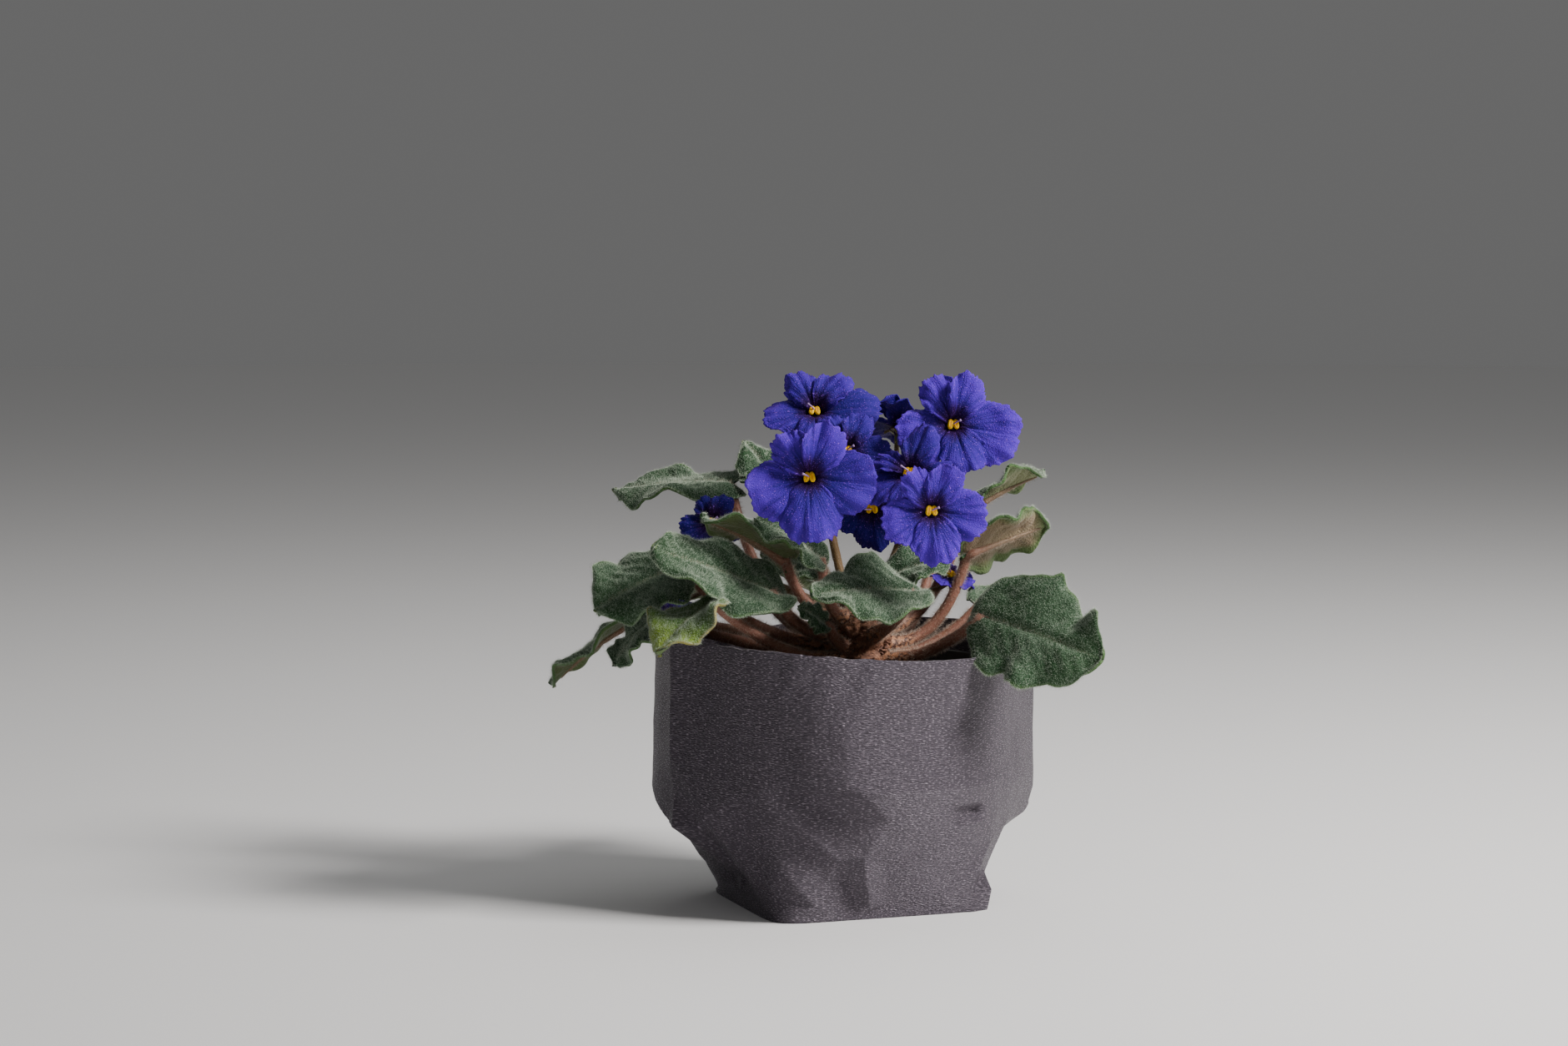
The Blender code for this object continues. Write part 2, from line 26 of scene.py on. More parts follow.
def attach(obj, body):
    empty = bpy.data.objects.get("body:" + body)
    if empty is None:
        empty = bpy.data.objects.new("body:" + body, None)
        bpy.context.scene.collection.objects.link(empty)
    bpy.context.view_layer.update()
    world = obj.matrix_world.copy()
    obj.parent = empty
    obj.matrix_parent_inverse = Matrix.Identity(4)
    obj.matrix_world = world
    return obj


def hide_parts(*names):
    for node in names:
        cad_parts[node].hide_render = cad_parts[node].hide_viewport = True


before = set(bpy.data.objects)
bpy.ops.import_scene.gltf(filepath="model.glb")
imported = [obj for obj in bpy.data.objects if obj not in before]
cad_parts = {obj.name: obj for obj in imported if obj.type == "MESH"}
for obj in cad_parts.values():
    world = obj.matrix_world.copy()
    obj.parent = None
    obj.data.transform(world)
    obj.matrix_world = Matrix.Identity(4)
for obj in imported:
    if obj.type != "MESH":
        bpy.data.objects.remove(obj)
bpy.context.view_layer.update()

LOG = logging.getLogger("violet")
MM = 0.001
BODY = "root"
WELD = 1e-6
UP = Vector((0.0, 0.0, 1.0))
Place = tuple[float, float, float]
Colour = tuple[float, float, float]
Shape = Callable[[float, float], Vector]


# ------------------------------------------------------------------ numbers
def smooth(share: float) -> float:
    """An S-shaped step from 0 to 1."""
    share = min(1.0, max(0.0, share))
    return share * share * (3.0 - 2.0 * share)


def apart(turn: float, other: float) -> float:
    """The angle between two directions, in degrees."""
    return abs((turn - other + 180.0) % 360.0 - 180.0)


def bezier(points: Sequence[Vector], steps: int) -> list[Vector]:
    """Points along a Bezier curve.

    Args:
        points: its three or four control points.
        steps: how many stretches to cut it into.

    Returns:
        steps + 1 points.
    """
    curve = []
    for i in range(steps + 1):
        level = [Vector(point) for point in points]
        while len(level) > 1:
            level = [a.lerp(b, i / steps) for a, b in zip(level, level[1:])]
        curve.append(level[0])
    return curve


def tangents(curve: Sequence[Vector]) -> list[Vector]:
    """The unit direction of travel at each point of a curve."""
    last = len(curve) - 1
    return [(curve[min(i + 1, last)] - curve[max(i - 1, 0)]).normalized() for i in range(last + 1)]


def squared(vector: Vector, direction: Vector) -> Vector:
    """The part of a vector at right angles to a unit direction, as a unit vector."""
    return (vector - vector.dot(direction) * direction).normalized()


def wobble(point: Vector, size: float) -> float:
    """Smooth noise from -1 to 1 that changes over about size millimetres."""
    return noise.noise(point / size)


def varied(x: float, y: float, z: float) -> float:
    """Smooth noise from -1 to 1 that changes over about a unit of each number."""
    return noise.noise(Vector((x, y, z)))


def bell(distance: float, width: float) -> float:
    """A bell curve: 1 at no distance and nearly 0 from two widths away."""
    return math.exp(-((distance / width) ** 2))


def ray(turn: float) -> Vector:
    """The level unit direction at an angle, in radians from +X."""
    return Vector((math.cos(turn), math.sin(turn), 0.0))


# ------------------------------------------------------------------- meshes
def sheet(across: int, along: int, shape: Shape) -> BMesh:
    """A grid bent to a shape, with its own shares across and along as its UV map.

    Args:
        across: cells in its first direction.
        along: cells in its second direction.
        shape: gives the point, in millimetres, for a share across and a share along.

    Returns:
        The sheet, in metres.
    """
    bm = bmesh.new()
    bm.loops.layers.uv.new("UVMap")
    bmesh.ops.create_grid(bm, x_segments=across, y_segments=along, size=0.5, calc_uvs=True)
    for vert in bm.verts:
        vert.co = shape(vert.co.x + 0.5, vert.co.y + 0.5) * MM
    return bm


def closed(bm: BMesh, cap: bool = True) -> BMesh:
    """Welds a sheet's meeting edges and closes its ends, with faces outwards.

    Args:
        bm: the sheet, rolled up.
        cap: whether open ends are filled.

    Returns:
        The same mesh.
    """
    bmesh.ops.remove_doubles(bm, verts=bm.verts, dist=WELD)
    if cap:
        bmesh.ops.holes_fill(bm, edges=[e for e in bm.edges if e.is_boundary], sides=0)
    bmesh.ops.recalc_face_normals(bm, faces=bm.faces)
    return bm


def tube(route: Sequence[Vector], radius: Callable[[float], float], sides: int, lumps: float = 0.0) -> BMesh:
    """A closed tube along a route, round or a little lumpy.

    Args:
        route: its middle line.
        radius: its radius for each share of the route.
        sides: how many flats go round it.
        lumps: how far its surface strays from round, in millimetres.

    Returns:
        The tube's mesh.
    """
    lump_size = 1.6
    normal = Vector((0.31, -0.83, 0.46))  # no route here starts along it
    frames = []
    for way in tangents(route):
        normal = squared(normal, way)
        frames.append((normal.copy(), way.cross(normal)))
    last = len(route) - 1

    def shape(u: float, v: float) -> Vector:
        """A point of the skin, for a share round the tube and a share along it."""
        i = round(v * last)
        turn = 2.0 * math.pi * (u % 1.0)
        spoke = math.cos(turn) * frames[i][0] + math.sin(turn) * frames[i][1]
        reach = radius(v)
        if lumps:
            reach += lumps * wobble(route[i] + spoke * reach, lump_size)
        return route[i] + spoke * reach

    return closed(sheet(sides, last, shape))


def mesh_of(name: str, bm: BMesh) -> bpy.types.Mesh:
    """Turns a finished bmesh into a smooth mesh and frees it."""
    mesh = bpy.data.meshes.new(name)
    bm.to_mesh(mesh)
    bm.free()
    mesh.shade_smooth()
    return mesh


def joined(parts: Sequence[BMesh]) -> BMesh:
    """One bmesh that holds several, which are freed."""
    whole = bmesh.new()
    for part in parts:
        mesh = bpy.data.meshes.new("part")
        part.to_mesh(mesh)
        part.free()
        whole.from_mesh(mesh)
        bpy.data.meshes.remove(mesh)
    return whole


def scattered(name: str, template: BMesh, places: np.ndarray) -> bpy.types.Mesh:
    """Many placed copies of one small shape, as one mesh.

    Args:
        name: the new mesh's name.
        template: the shape, which is freed.
        places: a 4 by 4 matrix for each copy.

    Returns:
        The mesh of all copies.
    """
    each = len(template.verts)
    mesh = bpy.data.meshes.new(name)
    template.to_mesh(mesh)
    template.free()
    corners = np.empty(each * 3)
    mesh.vertices.foreach_get("co", corners)
    corners = np.column_stack((corners.reshape(-1, 3), np.ones(each)))
    have = 1
    while have < len(places):
        double = bmesh.new()
        double.from_mesh(mesh)
        double.from_mesh(mesh)
        have *= 2
        if have > len(places):
            double.verts.ensure_lookup_table()
            surplus = [double.verts[i] for i in range(len(places) * each, have * each)]
            bmesh.ops.delete(double, geom=surplus, context="VERTS")
        double.to_mesh(mesh)
        double.free()
    placed = np.einsum("nij,kj->nki", places[:, :3, :], corners)
    mesh.vertices.foreach_set("co", placed.ravel())
    mesh.update()
    mesh.shade_smooth()
    return mesh


def show(name: str, mesh: bpy.types.Mesh, finishes: Sequence[bpy.types.Material], slot: str,
         *nodes: str) -> bpy.types.Object:
    """Puts a piece in the scene, riding on the body, in place of its CAD nodes.

    Args:
        name: the piece's name.
        mesh: its mesh, in the frame.
        finishes: its materials, the outer one first.
        slot: the record's material slot; not used here.
        nodes: the CAD nodes that it stands for.

    Returns:
        The new object.
    """
    for finish in finishes:
        mesh.materials.append(finish)
    piece = bpy.data.objects.new(name, mesh)
    bpy.context.scene.collection.objects.link(piece)
    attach(piece, BODY)
    if nodes:
        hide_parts(*nodes)
    LOG.info("%s: %d faces", name, len(mesh.polygons))
    return piece


def thicken(piece: bpy.types.Object, thickness: float, lining: int = 0, edge: int = 0) -> None:
    """Gives a sheet its thickness, behind its outer face.

    Args:
        piece: the sheet.
        thickness: in millimetres.
        lining: the material slot of the inner face.
        edge: the material slot of the cut edge.
    """
    wall = piece.modifiers.new("thickness", "SOLIDIFY")
    wall.thickness = thickness * MM
    wall.offset = -1.0
    wall.material_offset = lining
    wall.material_offset_rim = edge


def tag(mesh: bpy.types.Mesh, name: str, values: Sequence[Sequence[float]]) -> None:
    """Stores four numbers at each vertex for a material to read.

    Args:
        mesh: the mesh.
        name: the attribute's name.
        values: four numbers for each vertex, in order.
    """
    layer = mesh.attributes.new(name, "FLOAT_COLOR", "POINT")
    layer.data.foreach_set("color", np.asarray(values, dtype=np.float32).ravel())


def in_order(tags: dict[tuple[int, int], Sequence[float]], columns: int, rows: int) -> list[Sequence[float]]:
    """A sheet's tags, kept by column and row, in the order of its vertices."""
    return [tags[(i, j)] for j in range(rows + 1) for i in range(columns + 1)]


def pebble() -> BMesh:
    """A small faceted lump, one unit in radius, to scatter."""
    lump = bmesh.new()
    bmesh.ops.create_icosphere(lump, subdivisions=1, radius=1.0)
    return lump


def roughened(mesh: bpy.types.Mesh, grain: float, depth: float) -> bpy.types.Mesh:
    """Pushes every corner of a mesh aside, so that its copies all differ.

    Args:
        mesh: the mesh.
        grain: how quickly the push changes, for each millimetre.
        depth: how far it goes, in millimetres.

    Returns:
        The same mesh.
    """
    noise.seed_set(1)  # noise_vector is offset by the clock until it has a seed
    for vert in mesh.vertices:
        vert.co += Vector(noise.noise_vector(vert.co / MM * grain)) * depth * MM
    return mesh


# ---------------------------------------------------------------- materials
class Nodes:
    """Writes the nodes of one material or group, from its inputs to its outputs."""

    def __init__(self, tree: bpy.types.NodeTree) -> None:
        """Keeps the tree to write in."""
        self.tree = tree

    def add(self, kind: str, inputs: dict | None = None, **settings: object) -> bpy.types.Node:
        """Adds a node.

        Args:
            kind: the node's type, without its ShaderNode prefix.
            inputs: a value or a socket for each input, by name or number.
            settings: the node's own properties.

        Returns:
            The new node.
        """
        node = self.tree.nodes.new(kind if kind.startswith("Node") else "ShaderNode" + kind)
        for name, value in settings.items():
            setattr(node, name, value)
        for key, value in (inputs or {}).items():
            if isinstance(value, bpy.types.NodeSocket):
                self.tree.links.new(value, node.inputs[key])
            else:
                node.inputs[key].default_value = value
        return node

    def math(self, operation: str, *values: object, clamp: bool = False) -> bpy.types.NodeSocket:
        """A Math node's result."""
        node = self.add("Math", dict(enumerate(values)), operation=operation, use_clamp=clamp)
        return node.outputs[0]

    def times(self, value: object, factor: object) -> bpy.types.NodeSocket:
        """A product."""
        return self.math("MULTIPLY", value, factor)

    def mix(self, share: object, first: object, second: object) -> bpy.types.NodeSocket:
        """A colour between two others."""
        first = (*first, 1.0) if isinstance(first, tuple) else first
        second = (*second, 1.0) if isinstance(second, tuple) else second
        return self.add("Mix", {0: share, 6: first, 7: second}, data_type="RGBA").outputs[2]

    def lay(self, under: object, over: object, mask: object, share: float) -> bpy.types.NodeSocket:
        """Lays a colour over another where a mask is 1, at most to a share."""
        return self.mix(self.times(mask, share), under, over)

    def step(self, value: object, low: float, high: float) -> bpy.types.NodeSocket:
        """0 below low, 1 above high and a smooth rise between; low may be the greater."""
        if low > high:
            return self.fall(value, high, low)
        return self.add("MapRange", {0: value, 1: low, 2: high}, interpolation_type="SMOOTHSTEP").outputs[0]

    def fall(self, value: object, low: object, high: object) -> bpy.types.NodeSocket:
        """1 below low, 0 above high and a smooth fall between; both may be sockets."""
        inputs = {0: value, 1: low, 2: high, 3: 1.0, 4: 0.0}
        return self.add("MapRange", inputs, interpolation_type="SMOOTHSTEP").outputs[0]

    def noise(self, vector: object, scale: object, detail: float, **inputs: float) -> bpy.types.NodeSocket:
        """Noise from 0 to 1 over a vector."""
        return self.add("TexNoise", {"Vector": vector, "Scale": scale, "Detail": detail, **inputs}).outputs[0]

    def unrolled(self) -> bpy.types.NodeSocket:
        """The point on the piece's own UV map."""
        return self.add("UVMap", uv_map="UVMap").outputs[0]

    def place(self) -> bpy.types.NodeSocket:
        """The point on the object, in metres."""
        return self.add("TexCoord").outputs["Object"]

    def stretched(self, vector: object, scale: Place) -> bpy.types.NodeSocket:
        """A vector scaled along its three axes."""
        return self.add("Mapping", {"Vector": vector, "Scale": scale}).outputs[0]

    def tagged(self, name: str) -> list[bpy.types.NodeSocket]:
        """The first three numbers of a vertex tag."""
        read = self.add("Attribute", attribute_name=name).outputs["Color"]
        parts = self.add("SeparateColor", {0: read}).outputs
        return [parts[0], parts[1], parts[2]]

    def bump(self, height: object, depth: float, under: object | None = None) -> bpy.types.NodeSocket:
        """The normal of a bumpy surface, with depth in millimetres."""
        inputs = {"Height": height, "Distance": depth * MM, "Strength": 1.0}
        if under is not None:
            inputs["Normal"] = under
        return self.add("Bump", inputs).outputs[0]

    def group(self, tree: bpy.types.NodeTree, **inputs: object) -> bpy.types.NodeSocket:
        """A node group's one output.

        Args:
            tree: the group.
            inputs: a number or a socket for each of its inputs.

        Returns:
            The output.
        """
        node = self.add("Group", node_tree=tree)
        for key, value in inputs.items():
            if isinstance(value, bpy.types.NodeSocket):
                self.tree.links.new(value, node.inputs[key])
            else:
                node.inputs[key].default_value = value
        return node.outputs[0]


def new_group(name: str, inputs: dict[str, float], output: str) -> tuple[Nodes, dict, bpy.types.NodeSocket]:
    """Starts a shader node group that puts out one number.

    Args:
        name: the group's name.
        inputs: the default of each number that goes in.
        output: the name of its result.

    Returns:
        The writer of its nodes, its inputs by name, and the socket that takes its result.
    """
    tree = bpy.data.node_groups.new(name, "ShaderNodeTree")
    for key, value in inputs.items():
        socket = tree.interface.new_socket(name=key, in_out="INPUT", socket_type="NodeSocketFloat")
        socket.default_value = value
    tree.interface.new_socket(name=output, in_out="OUTPUT", socket_type="NodeSocketFloat")
    nodes = Nodes(tree)
    given = nodes.add("NodeGroupInput").outputs
    return nodes, {key: given[key] for key in inputs}, nodes.add("NodeGroupOutput").inputs[output]


@cache
def mottle() -> bpy.types.NodeTree:
    """Patches at two sizes, for plant skin, bark and soil: a mask from 0 to 1."""
    nodes, given, result = new_group("mottle", {"Size": 6.0, "Sharpness": 0.5}, "Mask")
    scale = nodes.math("DIVIDE", 1000.0, given["Size"])
    coarse = nodes.noise(nodes.place(), scale, 4.0)
    fine = nodes.noise(nodes.place(), nodes.times(scale, 5.0), 2.0)
    both = nodes.math("ADD", nodes.times(coarse, 0.7), nodes.times(fine, 0.3))
    spread = nodes.math("SUBTRACT", 0.5, nodes.times(given["Sharpness"], 0.4))
    above = nodes.math("SUBTRACT", both, nodes.math("SUBTRACT", 0.5, spread))
    nodes.tree.links.new(nodes.math("DIVIDE", above, nodes.times(spread, 2.0), clamp=True), result)
    return nodes.tree


@cache
def cells() -> bpy.types.NodeTree:
    """The tiny domed cells of petals and leaves: a height."""
    nodes, given, result = new_group("cells", {"Size": 0.4}, "Height")
    scale = nodes.math("DIVIDE", 1000.0, given["Size"])
    pits = nodes.add("TexVoronoi", {"Vector": nodes.place(), "Scale": scale}, feature="F1")
    nodes.tree.links.new(nodes.math("SUBTRACT", 1.0, pits.outputs["Distance"]), result)
    return nodes.tree


@cache
def side_veins() -> bpy.types.NodeTree:
    """The side veins of a leaf, for both of its sides: a mask that is 1 along each.

    Across is the share out from the midrib, Phase counts the veins in tenths, Width is half of a
    vein's share of the gap, and the veins fade out between Inner and Outer.
    """
    inputs = {"Across": 0.0, "Phase": 0.0, "Width": 0.09, "Inner": 0.75, "Outer": 0.97}
    nodes, given, result = new_group("side_veins", inputs, "Mask")
    away = nodes.math("PINGPONG", nodes.times(given["Phase"], 10.0), 0.5)
    line = nodes.fall(away, 0.0, given["Width"])
    near = nodes.fall(given["Across"], given["Inner"], given["Outer"])
    nodes.tree.links.new(nodes.times(line, near), result)
    return nodes.tree


class Finish:
    """A surface finish: makes its material once, from the nodes that its subclass writes."""

    name: str = "finish"

    def nodes(self, nodes: Nodes, shader: bpy.types.Node) -> None:
        """Writes the material's nodes into its shader's inputs."""
        raise NotImplementedError

    def material(self) -> bpy.types.Material:
        """The finish's material, made on first use."""
        return dressed(self)


@cache
def dressed(finish: Finish) -> bpy.types.Material:
    """Makes a finish's material."""
    made = bpy.data.materials.new(finish.name)
    made.use_nodes = True
    finish.nodes(Nodes(made.node_tree), made.node_tree.nodes["Principled BSDF"])
    return made


def connect(nodes: Nodes, shader: bpy.types.Node, **inputs: object) -> None:
    """Feeds a shader's inputs.

    Args:
        nodes: the writer of the material's nodes.
        shader: the Principled shader.
        inputs: a socket or a constant for each input, with _ for a space in its name.
    """
    for key, value in inputs.items():
        socket = shader.inputs[key.replace("_", " ")]
        if isinstance(value, bpy.types.NodeSocket):
            nodes.tree.links.new(value, socket)
        elif isinstance(value, tuple):
            socket.default_value = (*value, 1.0)
        else:
            socket.default_value = value


@dataclass(frozen=True)
class LeafTop(Finish):
    """The upper side of a leaf: quilted green between paler veins, dulled by fine hairs."""

    name: str = "leaf_top"
    deep: Colour = (0.006, 0.030, 0.008)
    pale: Colour = (0.018, 0.062, 0.020)
    vein: Colour = (0.070, 0.120, 0.055)
    rim: Colour = (0.090, 0.180, 0.050)
    tip: Colour = (0.010, 0.045, 0.010)
    frost: Colour = (0.105, 0.160, 0.100)

    def nodes(self, nodes: Nodes, shader: bpy.types.Node) -> None:
        """Colours the veins by the blade's tag and the rest by patches."""
        across, along, phase = nodes.tagged("blade")
        colour = nodes.mix(nodes.group(mottle(), Size=9.0, Sharpness=0.6), self.deep, self.pale)
        colour = nodes.mix(nodes.step(along, 0.45, 1.0), colour, self.tip)
        sides = nodes.group(side_veins(), Across=across, Phase=phase)
        veins = nodes.math("MAXIMUM", nodes.step(across, 0.085, 0.02), nodes.times(sides, 0.35))
        colour = nodes.lay(colour, self.vein, veins, 0.45)
        colour = nodes.lay(colour, self.rim, nodes.step(across, 0.93, 1.0), 0.7)
        bloom = nodes.noise(nodes.place(), 2300.0, 2.0)
        drift = nodes.noise(nodes.place(), 130.0, 2.0)
        cover = nodes.times(nodes.step(bloom, 0.46, 0.66), nodes.step(drift, 0.25, 0.70))
        colour = nodes.lay(colour, self.frost, cover, 0.6)
        connect(
            nodes, shader, Base_Color=colour, Roughness=0.62, Specular_IOR_Level=0.25,
            Sheen_Weight=0.18, Sheen_Roughness=0.4, Sheen_Tint=(0.75, 0.85, 0.72),
            Normal=nodes.bump(nodes.group(cells(), Size=0.6), 0.35),
        )


@dataclass(frozen=True)
class LeafUnder(Finish):
    """The under side of a leaf: olive, or paler and flushed brown, with darker net veins."""

    name: str = "leaf_under"
    flush: Colour = (0.105, 0.120, 0.055)
    green: Colour = (0.110, 0.170, 0.055)
    vein: Colour = (0.085, 0.045, 0.028)

    def nodes(self, nodes: Nodes, shader: bpy.types.Node) -> None:
        """Greens the margins and darkens the veins by the blade's tag."""
        across, along, phase = nodes.tagged("blade")
        outer = nodes.math("MAXIMUM", nodes.step(across, 0.45, 0.95), nodes.step(along, 0.70, 1.0))
        patches = nodes.times(nodes.group(mottle(), Size=12.0, Sharpness=0.4), 0.5)
        colour = nodes.mix(nodes.math("MAXIMUM", outer, patches), self.flush, self.green)
        veins = nodes.group(side_veins(), Across=across, Phase=phase, Width=0.075, Inner=0.7, Outer=0.95)
        colour = nodes.lay(colour, self.vein, veins, 0.55)
        connect(
            nodes, shader, Base_Color=colour, Roughness=0.6, Specular_IOR_Level=0.25,
            Sheen_Weight=0.18, Sheen_Roughness=0.5, Sheen_Tint=(0.9, 0.85, 0.8),
            Normal=nodes.bump(nodes.group(cells(), Size=0.7), 0.3),
        )


@dataclass(frozen=True)
class StalkSkin(Finish):
    """The skin of a petiole or flower stalk, streaked along its length.

    greenness is how much of it is green, woody the share of the length that is cork at its foot,
    and tan how far its far end turns to the colour of a leaf's rib.
    """

    name: str = "petiole"
    red: Colour = (0.350, 0.155, 0.105)
    green: Colour = (0.280, 0.180, 0.070)
    dark: Colour = (0.070, 0.026, 0.016)
    cork: Colour = (0.430, 0.200, 0.100)
    rib: Colour = (0.180, 0.130, 0.072)
    greenness: float = 0.35
    woody: float = 0.0
    tan: float = 0.0

    def nodes(self, nodes: Nodes, shader: bpy.types.Node) -> None:
        """Mixes streaks of red, green and dark, with cork at the foot."""
        uv = nodes.unrolled()
        streaks = nodes.noise(nodes.stretched(uv, (7.0, 2.5, 1.0)), 1.0, 4.0)
        patches = nodes.group(mottle(), Size=7.0, Sharpness=0.5)
        green = nodes.step(streaks, 0.75 - 0.5 * self.greenness, 0.9 - 0.5 * self.greenness)
        colour = nodes.lay(nodes.mix(green, self.red, self.green), self.dark, patches, 0.6)
        along = nodes.add("SeparateXYZ", {0: uv}).outputs["Y"]
        cracks = nodes.noise(nodes.stretched(uv, (9.0, 45.0, 1.0)), 1.0, 4.0)
        cork = nodes.mix(nodes.step(cracks, 0.56, 0.44), self.cork, self.dark)
        foot = nodes.math("ADD", along, nodes.times(nodes.math("SUBTRACT", patches, 0.5), 0.16))
        colour = nodes.mix(nodes.step(foot, self.woody, self.woody * 0.4 - 0.001), colour, cork)
        colour = nodes.lay(colour, self.rib, nodes.step(along, 0.45, 0.75), self.tan)
        height = nodes.noise(nodes.place(), 1800.0, 2.0)
        connect(
            nodes, shader, Base_Color=colour, Roughness=0.48, Specular_IOR_Level=0.35,
            Normal=nodes.bump(height, 0.25),
        )


@dataclass(frozen=True)
class Petal(Finish):
    """Velvety petals: a dark throat, fine veins fanning out, painted shade and highlight, and painted cell
    glints.
    """

    name: str = "petal_velvet"
    base: Colour = (0.054, 0.010, 0.360)
    # the veins' dark blue, also painted as shade inside each petal and over shaded flowers
    vein_and_shade_colour: Colour = (0.004, 0.006, 0.115)
    # pale violet for random patches, also painted as a highlight along the margins
    light: Colour = (0.125, 0.034, 0.620)
    throat: Colour = (0.016, 0.001, 0.028)
    # painted glints: the pale violet of the cells' sparkle
    painted_glint: Colour = (0.34, 0.12, 0.80)

    def nodes(self, nodes: Nodes, shader: bpy.types.Node) -> None:
        """Fans the veins by the UV map; by the tag, darkens the throat and paints shade and a margin
        highlight.
        """
        out, edge, shade = nodes.tagged("petal")
        veins = nodes.noise(nodes.stretched(nodes.unrolled(), (26.0, 2.2, 1.0)), 1.0, 4.0, Distortion=0.5)
        colour = nodes.lay(self.base, self.light, nodes.group(mottle(), Size=7.0, Sharpness=0.5), 0.5)
        colour = nodes.lay(colour, self.vein_and_shade_colour, nodes.step(veins, 0.58, 0.36), 0.45)
        # painted shade: darker from the margin in towards the throat
        colour = nodes.lay(colour, self.vein_and_shade_colour, nodes.step(edge, 0.80, 0.10), 0.55)
        # painted highlight: paler along the margin, where the light catches the petal
        colour = nodes.lay(colour, self.light, nodes.step(edge, 0.82, 1.0), 0.55)
        # painted shade: darker over a flower or petal that sits in shadow
        colour = nodes.lay(colour, self.vein_and_shade_colour, shade, 0.85)
        reach = nodes.math("ADD", out, nodes.times(nodes.math("SUBTRACT", veins, 0.5), 0.30))
        colour = nodes.lay(colour, self.throat, nodes.step(reach, 0.36, 0.12), 0.9)
        # painted glints: scattered pale violet specks for the sparkle of the petal's cells
        glint = nodes.noise(nodes.place(), 2200.0, 1.0)
        colour = nodes.lay(colour, self.painted_glint, nodes.step(glint, 0.64, 0.74), 0.6)
        connect(
            nodes, shader, Base_Color=colour, Roughness=0.6, Specular_IOR_Level=0.12,
            Sheen_Weight=0.08, Sheen_Roughness=0.3, Sheen_Tint=(0.60, 0.10, 1.0),
            Normal=nodes.bump(nodes.group(cells(), Size=0.4), 0.2, nodes.bump(veins, 0.6)),
        )


@dataclass(frozen=True)
class Pollen(Finish):
    """Bright yellow anthers, deeper in their grooves."""

    name: str = "pollen"
    yellow: Colour = (1.0, 0.64, 0.0)
    deep: Colour = (0.62, 0.16, 0.0)

    def nodes(self, nodes: Nodes, shader: bpy.types.Node) -> None:
        """Darkens the groove by the anther's tag."""
        groove, _, _ = nodes.tagged("anther")
        grain = nodes.noise(nodes.place(), 4200.0, 2.0)
        colour = nodes.lay(self.yellow, self.deep, groove, 0.9)
        colour = nodes.lay(colour, self.deep, nodes.step(grain, 0.6, 0.4), 0.35)
        connect(
            nodes, shader, Base_Color=colour, Roughness=0.6, Specular_IOR_Level=0.2,
            Normal=nodes.bump(grain, 0.12),
        )


@dataclass(frozen=True)
class Crepe(Finish):
    """Charcoal creped paper: fine level wrinkles with a painted highlight on their crests, and painted
    glinting flecks.
    """

    name: str = "crepe_paper"
    dark: Colour = (0.015, 0.0120, 0.0175)
    # paler random patches, and also the painted highlight on the wrinkles' crests
    pale_patch_and_crest_light: Colour = (0.052, 0.042, 0.055)
    # painted glints: the colour of the small pale flecks
    painted_fleck_glint: Colour = (0.46, 0.40, 0.46)

    def nodes(self, nodes: Nodes, shader: bpy.types.Node) -> None:
        """Stretches the wrinkles level with the sheet's UV map, which is in decimetres."""
        uv = nodes.unrolled()
        wrinkle = nodes.noise(nodes.stretched(uv, (74.0, 340.0, 1.0)), 1.0, 2.0)
        ridge = nodes.noise(nodes.stretched(uv, (16.0, 90.0, 1.0)), 1.0, 2.0)
        speck = nodes.noise(nodes.stretched(uv, (82.0, 360.0, 1.0)), 1.0, 0.0)
        fibre = nodes.noise(nodes.place(), 5000.0, 2.0)
        colour = nodes.lay(self.dark, self.pale_patch_and_crest_light, nodes.group(mottle(), Size=22.0, Sharpness=0.3), 0.35)
        # painted highlight: paler on the crests of the wrinkles, where they would catch the light
        colour = nodes.lay(colour, self.pale_patch_and_crest_light, nodes.step(wrinkle, 0.42, 0.64), 0.8)
        # painted glints: small pale flecks, which are also made glossier
        glint_flecks = nodes.step(speck, 0.58, 0.73)
        colour = nodes.lay(colour, self.painted_fleck_glint, glint_flecks, 0.45)
        relief = nodes.bump(nodes.math("ADD", wrinkle, nodes.times(ridge, 0.5)), 1.1)
        connect(
            nodes, shader, Base_Color=colour,
            Roughness=nodes.math("SUBTRACT", 0.46, nodes.times(glint_flecks, 0.18)),
            Specular_IOR_Level=0.85, Specular_Tint=(0.97, 0.87, 1.0),
            Normal=nodes.bump(fibre, 0.05, relief),
        )


@dataclass(frozen=True)
class Bark(Finish):
    """The corky, reddish-brown skin of the crown and the chips on it."""

    name: str = "crown_bark"
    light: Colour = (0.420, 0.200, 0.110)
    dark: Colour = (0.070, 0.022, 0.012)

    def nodes(self, nodes: Nodes, shader: bpy.types.Node) -> None:
        """Mixes light and dark cork at two sizes."""
        grain = nodes.noise(nodes.place(), 1500.0, 4.0)
        colour = nodes.mix(nodes.group(mottle(), Size=3.0, Sharpness=0.9), self.dark, self.light)
        colour = nodes.lay(colour, self.dark, nodes.step(grain, 0.55, 0.35), 0.5)
        connect(nodes, shader, Base_Color=colour, Roughness=0.72, Normal=nodes.bump(grain, 0.6))


@dataclass(frozen=True)
class Peat(Finish):
    """Dark, damp potting soil with browner fibres."""

    name: str = "peat"
    dark: Colour = (0.016, 0.010, 0.007)
    brown: Colour = (0.075, 0.042, 0.024)

    def nodes(self, nodes: Nodes, shader: bpy.types.Node) -> None:
        """Mixes dark and brown crumbs."""
        grain = nodes.noise(nodes.place(), 1200.0, 5.0)
        colour = nodes.mix(nodes.group(mottle(), Size=2.5, Sharpness=0.8), self.dark, self.brown)
        connect(nodes, shader, Base_Color=colour, Roughness=0.9, Normal=nodes.bump(grain, 0.8))


